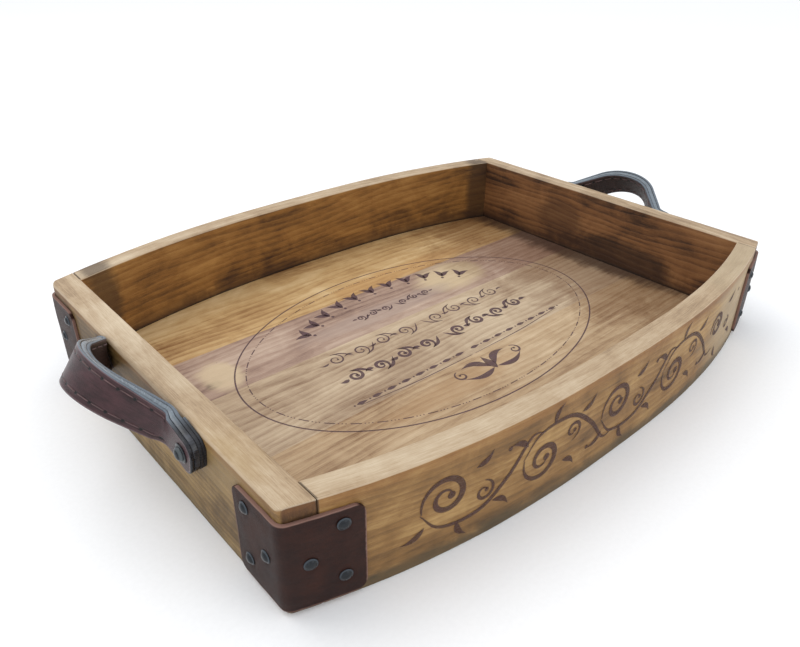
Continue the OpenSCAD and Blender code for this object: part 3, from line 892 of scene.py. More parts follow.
@dataclass
class Walls:
    """End boards and bowed staves, with eased edges."""

    outline: Outline
    height: float = 77.0
    rim_radius: float = 4.0
    ease: float = 1.2
    joint_ease: float = 0.35
    steps: int = 80
    waves: tuple[Spot, ...] = ((34.0, 0.15), (8.0, 0.07))

    def _section(self, low: float, high: float, rim: float) -> np.ndarray:
        """Section of a board as (across, up) points, run round once and closed.

        Args:
            low: Across at its inner face.
            high: Across at its outer face.
            rim: Radius of its upper outer edge.

        Returns:
            The section's points, with the same values across on its top as on its bottom.
        """
        turns = np.linspace(0, math.pi / 2, 6)
        samples = set(np.linspace(low + self.ease, high - rim, 5))
        for radius in (rim, self.ease):
            samples |= set(high - radius * (1 - np.sin(turns)))
        samples |= set(low + self.ease * (1 - np.sin(turns)))
        across = np.array(sorted(samples))

        def drop(radius: float) -> np.ndarray:
            """How far the edges' rounding takes each sample from the flat face."""
            outer = np.clip(across - (high - radius), 0, radius)
            inner = np.clip(low + self.ease - across, 0, self.ease)
            return (radius - np.sqrt(radius ** 2 - outer ** 2)
                    + self.ease - np.sqrt(self.ease ** 2 - inner ** 2))

        top = np.column_stack([across, self.height - drop(rim)])
        base = np.column_stack([across, drop(self.ease)])
        levels = np.linspace(self.height - rim, self.ease, 9)[1:-1]
        outer = np.column_stack([np.full(7, high), levels])
        inner = np.column_stack([np.full(7, low), levels[::-1]])
        loop = np.vstack([top, outer, base[::-1], inner])
        return np.vstack([loop, loop[:1]])

    def _bar(self, name: str, length: float, section: np.ndarray, ease: float,
             lay: Callable[..., np.ndarray]) -> bpy.types.Object:
        """Sweeps a section from one end of a board to the other.

        Args:
            name: The piece's name.
            length: Half the board's length.
            section: Points from _section.
            ease: Radius of its end edges.
            lay: Turns arrays of (along, across, up) into places on the tray.

        Returns:
            The board.
        """
        edge = np.array([0.0, 0.0, 0.1, 0.3, 0.6, 1.0, 3.0]) * ease
        middle = np.linspace(edge[-1] * 2 - length, length - edge[-1] * 2, self.steps)
        stations = np.concatenate([edge - length, middle, (length - edge)[::-1]])
        centre = (section.min(axis=0) + section.max(axis=0)) / 2
        extent = np.ptp(section, axis=0)
        rings = []
        for i, along in enumerate(stations):
            near = min((length - abs(along)) / ease, 1.0)
            soft = ease * (1 - math.sqrt(max(0.0, 1 - (1 - near) ** 2)))
            ring = centre + (section - centre) * (1 - 2 * soft / extent)
            if i in (0, len(stations) - 1):
                ring[:, 1] = centre[1]
            rings.append(np.column_stack([np.full(len(ring), along), ring]))
        spots = lay(*np.vstack(rings).T)
        for spot in spots:
            at = Vector(spot)
            for size, depth in self.waves:
                spot += np.array(noise.noise_vector(at / size)) * depth
        spots[:, 2] = np.clip(spots[:, 2], 0.0, self.height)
        piece = grid(name, len(section) - 1, len(stations) - 1)
        moved_to(piece, spots)
        tidied(piece)
        smoothed(piece, 32)
        modified(piece, "WEIGHTED_NORMAL", weight=100, mode="FACE_AREA")
        return piece

    def end_board(self, side: Side) -> bpy.types.Object:
        """Builds one end board."""
        o = self.outline
        rows = [p for p, _ in o.corner_arc()][::-1]
        rows = [p for p, _ in o.bow_points(o.joint, rows[0][0] - 0.1, 5)] + rows
        xs, ys = np.array(rows).T

        def lay(along: np.ndarray, across: np.ndarray, up: np.ndarray) -> np.ndarray:
            """Stretches the board so that its ends follow the bow and the rounded corner."""
            return np.column_stack([across * side.value,
                                    along / o.half_depth * np.interp(across, xs, ys), up])

        return self._bar(f"board_{side.name.lower()}", o.half_depth,
                         self._section(o.joint, o.half_length, self.rim_radius), self.ease, lay)

    def stave(self, front: Front) -> bpy.types.Object:
        """Builds one bowed stave."""
        o = self.outline

        def lay(along: np.ndarray, across: np.ndarray, up: np.ndarray) -> np.ndarray:
            """Bends the board to the bow."""
            bow = np.array([o.bow(x) for x in along])
            return np.column_stack([along, (bow + across) * front.value, up])

        return self._bar(f"stave_{front.name.lower()}", o.joint,
                         self._section(-o.stave, 0.0, self.ease), self.joint_ease, lay)

    def finishes(self) -> dict[str, WoodFinish]:
        """Finish of each wall by the name of its node."""
        o = self.outline
        return {
            "side_stave_front": WoodFinish(
                "front_stave_wood", Grain.LENGTHWISE, WARM, DEEP, outward=(0, -1), bow=o,
                heart=(-40, -55), slant=0.05, foot_darkening=0.75, corner_shade=0.8, figure=0.45,
                tone_patches=(TonePatch((205, -170, 42), (105, 60, 60), (172, 154, 124), 0.6),)),
            "side_stave_back": WoodFinish(
                "back_stave_wood", Grain.LENGTHWISE, WARM, DEEP, outward=(0, 1), bow=o,
                heart=(-46, 120), ring=6.0, slant=0.14, foot_darkening=0.6, corner_shade=0.8, figure=0.7,
                # These two patches are painted shade in the inner corners where the back stave
                # meets the end boards.
                tone_patches=(TonePatch((222, 150, 45), (20, 40, 60), (58, 40, 26), 0.75),
                        TonePatch((-215, 160, 45), (18, 30, 60), (60, 42, 26), 0.7))),
            # The end boards' outer palette is painted shade.
            "end_board_left": WoodFinish(
                "left_board_wood", Grain.CROSSWISE, SHADED_END_OUTER, DEEP, outward=(-1, 0),
                heart=(-200, -70), ring=4.4, foot_darkening=0.45, corner_shade=0.8, figure=0.6,
                tone_patches=(TonePatch((-250, -100, 62), (30, 60, 22), (166, 138, 92), 0.45),)),
            # The right board's inner palette is painted shade.
            "end_board_right": WoodFinish(
                "right_board_wood", Grain.CROSSWISE, SHADED_END_OUTER, SHADED_RIGHT_INNER, outward=(1, 0),
                heart=(190, 130), ring=5.6, foot_darkening=0.45, corner_shade=0.9,
                # These two patches are painted shade on the right board's inner face, darkest low
                # down.
                tone_patches=(TonePatch((231, -40, 22), (30, 70, 22), (40, 25, 17), 0.7),
                        TonePatch((231, 40, 38), (30, 34, 30), (58, 36, 22), 0.5))),
        }

    def build(self) -> None:
        """Builds, dresses and places the four walls."""
        finishes = self.finishes()
        pieces = {f"end_board_{side.name.lower()}": self.end_board(side) for side in Side}
        pieces |= {f"side_stave_{front.name.lower()}": self.stave(front) for front in Front}
        for node, piece in pieces.items():
            dressed(piece, finishes[node].make())
            placed(piece, "tray", "wall_wood", node)


# ----------------------------------------------------------------------- the floor


@dataclass
class Floor:
    """Five glued planks, which stay as the frame has them, each with its own wood."""

    nodes: dict[str, bpy.types.Object]
    # Painted shadow on the floor: darker over its right part and in strips along the right and back
    # walls.
    painted_shadows: tuple[TonePatch, ...] = (TonePatch((270, 30, FLOOR_TOP), (190, 320, 60), (104, 66, 32), 0.5),
                                 TonePatch((240, 20, FLOOR_TOP), (34, 200, 40), (58, 36, 24), 0.8),
                                 TonePatch((20, 215, FLOOR_TOP), (260, 50, 40), (112, 72, 36), 0.45))

    def build(self) -> None:
        """Dresses the planks and the dowels."""
        pale_patch = TonePatch((-172, 52, FLOOR_TOP), (20, 26, 40), (206, 184, 150), 0.8)
        swirl = TonePatch((88, 60, FLOOR_TOP), (46, 30, 40), (206, 184, 146), 0.75)
        grey = TonePatch((-10, 48, FLOOR_TOP), (95, 16, 40), (168, 147, 134), 0.55)
        looks = {
            "floor_plank_1": (HONEY, (30.0, -70.0), (), ()),
            "floor_plank_2": (HONEY, (-150.0, -52.0), (TonePatch((-40, -80, FLOOR_TOP), (90, 14, 40),
                                                             (168, 132, 92), 0.5),), ()),
            "floor_plank_3": (PALE, (70.0, -64.0), (), ()),
            "floor_plank_4": (ROSY, (10.0, -40.0), (pale_patch, swirl, grey),
                              (Knot((-182, 43), 5.0, 17.0), Knot((80, 47), 2.5, 26.0,
                                                                 (150, 118, 92)))),
            "floor_plank_5": (GOLDEN, (180.0, -60.0), (TonePatch((60, 100, FLOOR_TOP), (110, 14, 40),
                                                            (190, 146, 92), 0.5),),
                              (Knot((168, 96), 1.6, 7.0, (128, 84, 44)),)),
        }
        for name, (palette, heart, tone_patches, knots) in looks.items():
            finish = WoodFinish(f"{name}_wood", Grain.LENGTHWISE, palette, palette, palette,
                                heart=heart, tone_patches=(*tone_patches, *self.painted_shadows), knots=knots)
            dressed(self.nodes[name], finish.make())
        dowel = RawWoodFinish().make()
        for name, piece in self.nodes.items():
            if name.startswith("dowels"):
                dressed(piece, dowel)
        log.info("floor: %d planks dressed", len(looks))


# -------------------------------------------------------------------- printed decor


class Pen:
    """Draws calligraphic strokes as flat ribbons of a few dozen faces."""

    def __init__(self) -> None:
        """Starts with no strokes."""
        self.strokes: list[tuple[np.ndarray, np.ndarray]] = []

    def stroke(self, line: np.ndarray, widths: np.ndarray) -> None:
        """Adds one stroke along a line of points with a width at each."""
        self.strokes.append((line, widths))

    def curve(self, points: list[Spot], widest: float, thin: float = 0.5, swell: float = 1.0,
              steps: int = 28) -> None:
        """Draws a smooth curve through points, which swells towards its middle.

        Args:
            points: Places that it runs through.
            widest: Width at the swell.
            thin: Width at its ends.
            swell: Exponent that sharpens the swell.
            steps: Number of faces.
        """
        knots = np.array(points, float)
        padded = np.vstack([2 * knots[0] - knots[1], knots, 2 * knots[-1] - knots[-2]])
        t = np.linspace(0, len(knots) - 1 - 1e-6, steps + 1)
        k = t.astype(int)
        f = (t - k)[:, None]
        a, b, c, d = (padded[k + i] for i in range(4))
        line = 0.5 * (2 * b + (c - a) * f + (2 * a - 5 * b + 4 * c - d) * f ** 2
                      + (3 * b - a - 3 * c + d) * f ** 3)
        share = np.sin(np.pi * t / t[-1]) ** swell
        self.stroke(line, thin + (widest - thin) * share)

    def spiral(self, centre: Spot, start: float, end: float, turn_from: float, turns: float,
               widest: float, thin: float = 0.6, flip: int = 1) -> None:
        """Draws a scroll that winds from one radius to another.

        Args:
            centre: Its eye.
            start: Radius at its outer end.
            end: Radius at its inner end.
            turn_from: Angle of its outer end, in degrees.
            turns: Number of turns.
            widest: Width where it is broadest.
            thin: Width at its ends.
            flip: 1 to wind left, -1 to wind right.
        """
        t = np.linspace(0, 1, int(26 * turns) + 10)
        a = math.radians(turn_from) + flip * t * turns * FULL_TURN
        radius = start + (end - start) * t ** 0.8
        line = np.stack([centre[0] + radius * np.cos(a), centre[1] + radius * np.sin(a)], axis=1)
        self.stroke(line, thin + (widest - thin) * np.sin(np.pi * t ** 0.7) ** 1.2)
        self.dot((centre[0] + end * math.cos(a[-1]), centre[1] + end * math.sin(a[-1])),
                 max(widest * 0.62, 1.0))

    def leaf(self, base: Spot, angle: float, length: float, width: float,
             bend: float = 0.2) -> None:
        """Draws a pointed leaf from its base at an angle in degrees."""
        t = np.linspace(0, 1, 13)
        a = math.radians(angle)
        along, aside = t * length, bend * length * np.sin(np.pi * t)
        line = np.stack([base[0] + along * math.cos(a) - aside * math.sin(a),
                         base[1] + along * math.sin(a) + aside * math.cos(a)], axis=1)
        self.stroke(line, 0.15 + width * np.sin(np.pi * t ** 0.75) ** 1.3)

    def dot(self, centre: Spot, radius: float) -> None:
        """Draws a round dot."""
        t = np.linspace(-1, 1, 11)
        line = np.stack([centre[0] + radius * t, np.full_like(t, centre[1])], axis=1)
        self.stroke(line, 2 * radius * np.sqrt(np.maximum(1 - t ** 2, 0.002)))

    def oval(self, centre: Spot, radii: Spot, width: float, dashes: tuple[Spot, ...] | None = None,
             repeats: int = 1) -> None:
        """Draws an oval line, whole or in dashes.

        Args:
            centre: Its middle.
            radii: Half its length and half its depth.
            width: Width of the line.
            dashes: (start, end) shares of one repeat that are drawn.
            repeats: How often the dashes repeat round the oval.
        """
        fine = np.linspace(0, FULL_TURN, 1441)
        ring = np.stack([centre[0] + radii[0] * np.cos(fine), centre[1] + radii[1] * np.sin(fine)],
                        axis=1)
        run = np.concatenate([[0], np.cumsum(np.hypot(*np.diff(ring, axis=0).T))])
        spans = [(0.0, 1.0)] if dashes is None else [
            ((i + a) / repeats, (i + b) / repeats) for i in range(repeats) for a, b in dashes]
        for a, b in spans:
            steps = max(2, int((b - a) * run[-1] / 3.0))
            at = np.linspace(a, b, steps + 1) * run[-1]
            line = np.column_stack([np.interp(at, run, c) for c in ring.T])
            self.stroke(line, np.full(len(line), width))

    def made(self, name: str, lay: Callable[..., np.ndarray]) -> bpy.types.Object:
        """Makes the drawing one mesh.

        Args:
            name: The piece's name.
            lay: Turns an array of flat points into places on the tray.

        Returns:
            The piece.
        """
        ribbons = []
        for line, widths in self.strokes:
            ahead = np.gradient(line, axis=0)
            ahead /= np.maximum(np.hypot(ahead[:, 0], ahead[:, 1]), 1e-9)[:, None]
            aside = np.stack([-ahead[:, 1], ahead[:, 0]], axis=1) * widths[:, None] / 2
            ribbon = grid("ribbon", len(line) - 1, 1)
            moved_to(ribbon, lay(np.vstack([line - aside, line + aside])))
            ribbons.append(ribbon)
        return joined_pieces(name, ribbons)


@dataclass
class Prints:
    """The printed oval and scrolls on the floor, and the scroll on the front."""

    outline: Outline
    film: float = 0.05
    proud: float = 0.22
    centre: Spot = (1.0, 2.0)
    outer_oval: Spot = (177.5, 114.8)
    inner_oval: Spot = (168.7, 105.7)
    dashes: tuple[Spot, ...] = ((0.0, 0.42), (0.52, 0.57), (0.66, 0.71), (0.80, 0.85))
    dash_repeats: int = 46

    def floor_print(self) -> bpy.types.Object:
        """Draws the double oval and the scrolls within it."""
        pen = Pen()
        cx, cy = self.centre
        pen.oval(self.centre, self.outer_oval, 1.25)
        pen.oval(self.centre, self.inner_oval, 0.95, self.dashes, self.dash_repeats)
        for i in range(11):
            a = math.radians(90 + (5 - i) * 9.6)
            foot = (cx + 5 + 150 * math.cos(a) * 0.80, 2 + 84 * math.sin(a) * 0.94)
            for lean in (-34, 34):
                pen.leaf(foot, math.degrees(a) + lean, 15.5, 5.4, -0.12 * math.copysign(1, lean))
            pen.dot((foot[0] - 2.5 * math.cos(a), foot[1] - 2.5 * math.sin(a)), 1.5)
        for flip in (-1, 1):
            self._row_scroll(pen, (cx + 5, cy + 49), flip, 46, 4.6, 1.7)
            self._row_scroll(pen, (cx, cy + 8), flip, 104, 8.2, 1.6)
            self._row_scroll(pen, (cx, cy - 20), flip, 106, 7.8, 3.1)
            for i in range(8):
                x = cx + flip * (9 + i * 14.6)
                pen.leaf((x - 5.2, cy - 50), 0, 10.4, 3.4, 0.0)
                pen.dot((x + 7.3 * flip, cy - 50), 0.9)
            pen.curve([(cx + flip * 2, cy - 57.5), (cx + flip * 60, cy - 56.5),
                       (cx + flip * 114, cy - 52)], 0.9, 0.5)
            pen.leaf((cx + flip * 3, cy - 79), 90 - flip * 62, 25, 6.6, flip * 0.22)
            pen.leaf((cx + flip * 2, cy - 82), 90 - flip * 84, 31, 5.2, -flip * 0.16)
            pen.spiral((cx + flip * 31, cy - 74), 6.5, 1.6, 90, 1.1, 1.9, flip=-flip)
        pen.leaf((cx, cy - 84), 90, 20, 7.4, 0.0)
        top = FLOOR_TOP + self.film
        return pen.made("floor_print", lambda p: np.column_stack([p, np.full(len(p), top)]))

    @staticmethod
    def _row_scroll(pen: Pen, middle: Spot, flip: int, reach: float, size: float,
                    bold: float) -> None:
        """Draws one half of a row of running scrolls.

        Args:
            pen: The pen.
            middle: Middle of the row.
            flip: 1 for the right half, -1 for the left.
            reach: Length of the half.
            size: Radius of its scrolls.
            bold: Width of its strokes.
        """
        count = max(1, round(reach / (size * 3.1)))
        pitch = (reach - size * 0.8) / count
        for i in range(count):
            x = middle[0] + flip * (size * 0.8 + pitch * (i + 0.5))
            rise = 1 if i % 2 else -1
            pen.spiral((x, middle[1] + rise * size * 0.12), size, size * 0.22,
                       90 * rise, 1.35, bold, 0.5, flip=flip * rise)
            tail = x - flip * size * 1.1
            pen.curve([(x, middle[1] + rise * size * 1.12), (tail, middle[1] + rise * size * 0.7),
                       (tail - flip * size * 0.8, middle[1] - rise * size * 0.4)], bold, 0.4)
            pen.leaf((x + flip * size * 0.9, middle[1]), 0 if flip > 0 else 180, size * 1.1,
                     bold * 1.2, 0.15 * rise)

    def front_print(self) -> bpy.types.Object:
        """Draws the large running scroll on the front stave."""
        pen = Pen()
        starts = (-158, -84, -10, 64, 138)
        for i, x in enumerate(starts):
            rise = 1 if i % 2 == 0 else -1
            z = 41 + rise * 4
            last = i == len(starts) - 1
            size = 17.0 if not last else 12.0
            pen.spiral((x, z), size, 3.6, 200 if rise > 0 else 160, 1.55, 4.4, 0.8, flip=-rise)
            pen.spiral((x + 27, z - rise * 9), size * 0.5, 2.0, 90 * rise, 1.2, 2.6, 0.6,
                       flip=-rise)
            if not last:
                pen.curve([(x - size, z - rise * 6), (x - size * 0.2, z - rise * 21),
                           (x + 24, z - rise * 22), (x + 46, z - rise * 6),
                           (x + 62, z + rise * 14), (x + 74, z + rise * 13)], 3.4, 0.6)
            for k, (dx, dz, turn, length) in enumerate(((-14, -16, 205, 17), (8, -23, 300, 15),
                                                        (34, -20, 325, 16), (20, 12, 35, 15))):
                angle = turn if rise > 0 else -turn
                pen.leaf((x + dx, z + rise * dz), angle, length, 4.2, 0.16 * rise * (-1) ** k)
            pen.dot((x + 45, z + rise * 14), 1.7)
        o = self.outline

        def lay(points: np.ndarray) -> np.ndarray:
            """Bends the drawing onto the front stave."""
            face = np.array([-(o.bow(x) + self.film + self.proud) for x in points[:, 0]])
            return np.column_stack([points[:, 0], face, points[:, 1]])

        return pen.made("front_print", lay)

    def build(self) -> None:
        """Draws, dresses and places both prints."""
        for piece, tone, cover, slot in (
                (self.floor_print(), (84, 62, 66), 0.74, "floor_wood"),
                (self.front_print(), (72, 48, 42), 0.72, "wall_wood")):
            dressed(piece, InkFinish(f"{piece.name}_ink", tone, cover).make())
            placed(piece, "tray", slot)


# ------------------------------------------------------------------ corner patches


@dataclass
class CornerPatches:
    """Leather patches folded round the corners, and their domed nails.

    Swell, dimple and ripple each hold a height and a reach across the leather."""

    outline: Outline
    width: float = 43.0
    thick: float = 2.2
    glue: float = 0.05
    low: float = 4.0
    high: float = 67.0
    round_r: float = 7.0
    nail_rows: tuple[Spot, ...] = ((31.0, 57.0), (13.0, 36.0), (31.0, 19.5))
    columns: int = 84
    rows: int = 46
    swell: Spot = (0.45, 6.0)
    dimple: Spot = (0.75, 4.9)
    ripple: Spot = (0.16, 9.0)

    def _line(self) -> tuple[np.ndarray, np.ndarray, np.ndarray]:
        """Points, normals and running length of the wood's line under a patch."""
        o = self.outline
        face = ((o.half_length, o.half_depth - self.width), (1.0, 0.0))
        line = [face, *o.corner_arc(),
                *o.bow_points(o.half_length - o.corner - 1, o.half_length - self.width, 10)]
        points = np.array([p for p, _ in line])
        normals = np.array([n for _, n in line])
        run = np.concatenate([[0], np.cumsum(np.hypot(*np.diff(points, axis=0).T))])
        return points, normals, run

    def _sheet(self) -> bpy.types.Object:
        """Models the patch of the corner at +X, +Y."""
        points, normals, run = self._line()
        corner = float(np.interp(self.outline.half_depth, points[:10, 1], run[:10]))
        ell, zed = np.meshgrid(np.linspace(0, run[-1], self.columns + 1),
                               np.linspace(self.low, self.high, self.rows + 1))
        ell, zed = ell.ravel(), zed.ravel()
        r = self.round_r
        mid_l = np.clip(ell, r, run[-1] - r)
        mid_z = np.clip(zed, self.low + r, self.high - r)
        dl, dz = (ell - mid_l) / r, (zed - mid_z) / r
        ell = mid_l + r * dl * np.sqrt(1 - dz ** 2 / 2)
        zed = mid_z + r * dz * np.sqrt(1 - dl ** 2 / 2)
        out = np.full_like(ell, self.glue + self.thick)
        edge = np.minimum(np.minimum(ell, run[-1] - ell),
                          np.minimum(zed - self.low, self.high - zed))
        out += self.swell[0] * (1 - np.exp(-(edge / self.swell[1]) ** 2))
        for inset, height in self.nail_rows:
            for at in (corner - inset, corner + inset):
                far = np.hypot(ell - at, zed - height)
                out -= self.dimple[0] * np.exp(-(far / self.dimple[1]) ** 4)
        for i, (a, b) in enumerate(zip(ell, zed)):
            at = Vector((a / self.ripple[1], b / self.ripple[1], 3.1))
            out[i] += self.ripple[0] * noise.noise(at)
        where = [np.interp(ell, run, c) for c in points.T]
        facing = [np.interp(ell, run, c) for c in normals.T]
        piece = grid("patch", self.columns, self.rows)
        moved_to(piece, np.column_stack([where[0] + out * facing[0], where[1] + out * facing[1],
                                         zed]))
        mapped(piece, np.column_stack([ell, zed]))
        in_edit(piece, (bpy.ops.mesh.normals_make_consistent, {"inside": False}))
        self._face_out(piece)
        modified(piece, "SOLIDIFY", thickness=self.thick * MM, offset=-1, use_even_offset=True)
        modified(piece, "BEVEL", limit_method="ANGLE", angle_limit=math.radians(50), segments=3,
                 width=0.55 * MM, use_clamp_overlap=True)
        smoothed(piece, 50)
        self.reach = float(run[-1])
        self.corner_run = corner
        return piece

    @staticmethod
    def _face_out(piece: bpy.types.Object) -> None:
        """Turns an open sheet so that its front looks away from the tray's middle."""
        face = piece.data.polygons[0]
        if face.normal.x * face.center.x + face.normal.y * face.center.y < 0:
            in_edit(piece, (bpy.ops.mesh.flip_normals, {}))

    def _nail(self) -> bpy.types.Object:
        """Models one domed nail that stands on the XY plane."""
        profile = [(0.15, -6.2), (0.9, -5.0), (0.9, -0.1), (3.7, -0.05), (4.0, 0.15), (3.98, 0.42),
                   (3.72, 0.62), (3.45, 0.66), (3.2, 0.9), (2.7, 1.42), (2.05, 1.85), (1.25, 2.1),
                   (0.5, 2.19), (0.05, 2.2)]
        return turned("nail", profile)

    def _nail_places(self) -> list[Matrix]:
        """Places of the six nails of the corner at +X, +Y."""
        o = self.outline
        off = self.glue + self.thick + 0.05
        places = []
        for inset, height in self.nail_rows:
            places.append(aimed(Vector((o.half_length + off, o.half_depth - inset, height)),
                                Vector((1, 0, 0))))
            x = o.half_length - inset
            a = o.slope(x)
            axis = Vector((math.sin(a), math.cos(a), 0))
            places.append(aimed(Vector((x, o.bow(x), height)) + axis * off, axis))
        return places

    def build(self) -> None:
        """Builds the four patches and their nails."""
        sheet, nail = self._sheet(), self._nail()
        leather = LeatherFinish("patch_leather", (33, 12, 7), (56, 28, 19), 0.5,
                                (0.0, self.low, self.reach, self.high)).make()
        metal = BlackMetalFinish("nail_metal").make()
        for side in Side:
            for front in Front:
                name = f"{front.name.lower()}_{side.name.lower()}"
                mirror = Matrix.Diagonal((side.value, front.value, 1, 1))
                patch = copied(sheet, mirror)
                patch.name = f"corner_patch_{name}"
                heads = [copied(nail, place) for place in self._nail_places()]
                nails = joined_pieces(f"corner_nails_{name}", heads)
                nails.data.transform(mirror)
                for piece in (patch, nails):
                    if side.value * front.value < 0:
                        in_edit(piece, (bpy.ops.mesh.flip_normals, {}))
                dressed(patch, leather)
                dressed(nails, metal)
                placed(patch, "tray", "patch_leather", f"patch_{name}")
                placed(nails, "tray", "black_metal", f"nails_{name}")
        for piece in (sheet, nail):
            bpy.data.objects.remove(piece)


# -------------------------------------------------------------------- strap handles


@dataclass
class StrapHandle:
    """One stitched strap: an arch between two flat tabs that are screwed to its board."""

    side: Side
    raised: float
    shift: float
    level: float
    tilts: Spot
    half_length: float = 250.0
    width: float = 24.0
    face: float = 2.4
    core: float = 3.4
    lining: float = 2.4
    pad: float = 1.8
    crown_r: float = 42.0
    flank_angle: float = 49.5
    flank: float = 26.0
    base_r: float = 10.2
    tab: float = 28.0
    tab_round: float = 8.0
    pad_from_bend: float = 3.5
    twist_power: float = 1.2
    seam_inset: float = 4.0
    stitch: float = 11.0
    stitches: int = 12
    thread_r: float = 0.4
    screw_from_end: float = 11.0
    washer: float = 0.9
    rest_out: float = 10.5
    free_out: float = 20.0

    def __post_init__(self) -> None:
        """Works out the lengths and directions that follow from the sizes."""
        a, r = math.radians(self.flank_angle), math.radians(self.raised)
        self.thick = self.face + self.core + self.lining
        self.out = self.pad + self.thick
        self.crown_arc = self.crown_r * a
        self.bend_at = self.crown_arc + self.flank
        self.bend_u = self.crown_r * math.sin(a) + self.flank * math.cos(a)
        self.flank_way = np.array([-math.sin(a) * math.cos(r), math.cos(a),
                                   -math.sin(a) * math.sin(r)])
        tilts = [math.radians(t) for t in self.tilts]
        self.tab_ways = [np.array([0, math.cos(t), -math.sin(t)]) for t in tilts]
        self.bends = [math.acos(float(self.flank_way @ way)) for way in self.tab_ways]
        self.bend_ins = [(way - math.cos(phi) * self.flank_way) / math.sin(phi)
                         for way, phi in zip(self.tab_ways, self.bends)]
        self.bend_heights = [self.base_r * math.sin(a) * math.tan(phi / 2) for phi in self.bends]
        self.rises = [h + self.flank * math.sin(a) + self.crown_r * (1 - math.cos(a))
                      for h in self.bend_heights]
        self.flats = [self.bend_at + self.base_r * phi for phi in self.bends]
        self.halves = [flat + self.tab for flat in self.flats]
        self.holes = tuple((i - self.stitches / 2) * self.stitch for i in range(self.stitches + 1))
        self.rows = (self.width / 2 - self.seam_inset, self.seam_inset - self.width / 2)

    @property
    def name(self) -> str:
        """The side's name as the frame writes it."""
        return self.side.name.lower()

    def _half_path(self, half: int, d: np.ndarray) -> tuple[np.ndarray, np.ndarray]:
        """Places and directions on one half of the strap: off the board, along it and up.

        Args:
            half: 0 for the front half, 1 for the back half.
            d: Lengths from the strap's middle.

        Returns:
            Two arrays with a row a length.
        """
        r = math.radians(self.raised)
        rise, flat, phi = self.rises[half], self.flats[half], self.bends[half]

        def in_arch(u: np.ndarray | float, h: np.ndarray | float) -> np.ndarray:
            """Place of a point at distance u and height h in the plane of the arch."""
            u, h = np.broadcast_arrays(np.asarray(u, float), np.asarray(h, float))
            return np.stack([h * math.cos(r), u, h * math.sin(r)], axis=-1)

        def on_bend(t: np.ndarray) -> np.ndarray:
            """Place at an angle along the bend to the tab."""
            return (in_arch(self.bend_u, self.bend_heights[half])
                    + self.base_r * (np.sin(t)[:, None] * self.flank_way
                                     + (1 - np.cos(t))[:, None] * self.bend_ins[half]))

        t = np.minimum(d, self.crown_arc) / self.crown_r
        crown = in_arch(self.crown_r * np.sin(t), rise - self.crown_r * (1 - np.cos(t)))
        crown_way = np.stack([-np.sin(t) * math.cos(r), np.cos(t), -np.sin(t) * math.sin(r)],
                             axis=1)
        start = in_arch(self.bend_u, self.bend_heights[half])
        flank = start - (self.bend_at - d)[:, None] * self.flank_way
        b = np.clip((d - self.bend_at) / self.base_r, 0, phi)
        bend_way = np.cos(b)[:, None] * self.flank_way + np.sin(b)[:, None] * self.bend_ins[half]
        tab = on_bend(np.full_like(d, phi)) + (d - flat)[:, None] * self.tab_ways[half]
        zones = [(d < self.crown_arc)[:, None], (d < self.bend_at)[:, None], (d < flat)[:, None]]
        place = np.select(zones, [crown, flank, on_bend(b)], tab)
        way = np.select(zones, [crown_way, np.broadcast_to(self.flank_way, crown.shape), bend_way],
                        np.broadcast_to(self.tab_ways[half], crown.shape))
        return place, way

    def laid(self, s: np.ndarray, across: np.ndarray, depth: np.ndarray) -> np.ndarray:
        """Places of points on the strap.

        Args:
            s: Signed length from the strap's middle.
            across: Distance from its middle line.
            depth: Depth below its outer face.

        Returns:
            An array of points in millimetres.
        """
        sign, r = self.side.value, math.radians(self.raised)
        way = np.where(s < 0, -1.0, 1.0)
        pairs = [self._half_path(half, np.abs(s)) for half in (0, 1)]
        back = (s >= 0)[:, None]
        path, along = (np.where(back, two, one) for one, two in zip(*pairs))
        top = np.where(s >= 0, self.rises[1], self.rises[0])
        share = np.clip(path[:, 0] / math.cos(r) / top, 0, 1)
        twist = r * share ** self.twist_power
        lift = (sum(self.rises) / 2 - top) * share ** 2
        place = np.stack([sign * (self.half_length + self.out + path[:, 0] + lift * math.cos(r)),
                          self.shift + way * path[:, 1],
                          self.level + path[:, 2] + lift * math.sin(r)], axis=1)
        along = along * np.stack([np.full_like(s, sign), way, np.ones_like(s)], axis=1)
        lean = np.stack([-sign * np.sin(twist), np.zeros_like(s), np.cos(twist)], axis=1)
        wide = lean - (lean * along).sum(1)[:, None] * along
        wide /= np.linalg.norm(wide, axis=1)[:, None]
        inward = np.cross(along, wide) * (way * -sign)[:, None]
        return place + across[:, None] * wide + depth[:, None] * inward

    def _stations(self, start: float, stop: float) -> np.ndarray:
        """Lengths of the rings between two lengths, closer together at both ends."""
        ease = np.array([0.0, 0.12, 0.4, 0.8, 1.4, 2.1, 3.0, 4.0, 5.2])
        count = max(2, round((stop - start - 12.8) / 1.15))
        middle = np.linspace(start + 6.4, stop - 6.4, count)
        return np.concatenate([start + ease, middle, stop - ease[::-1]])

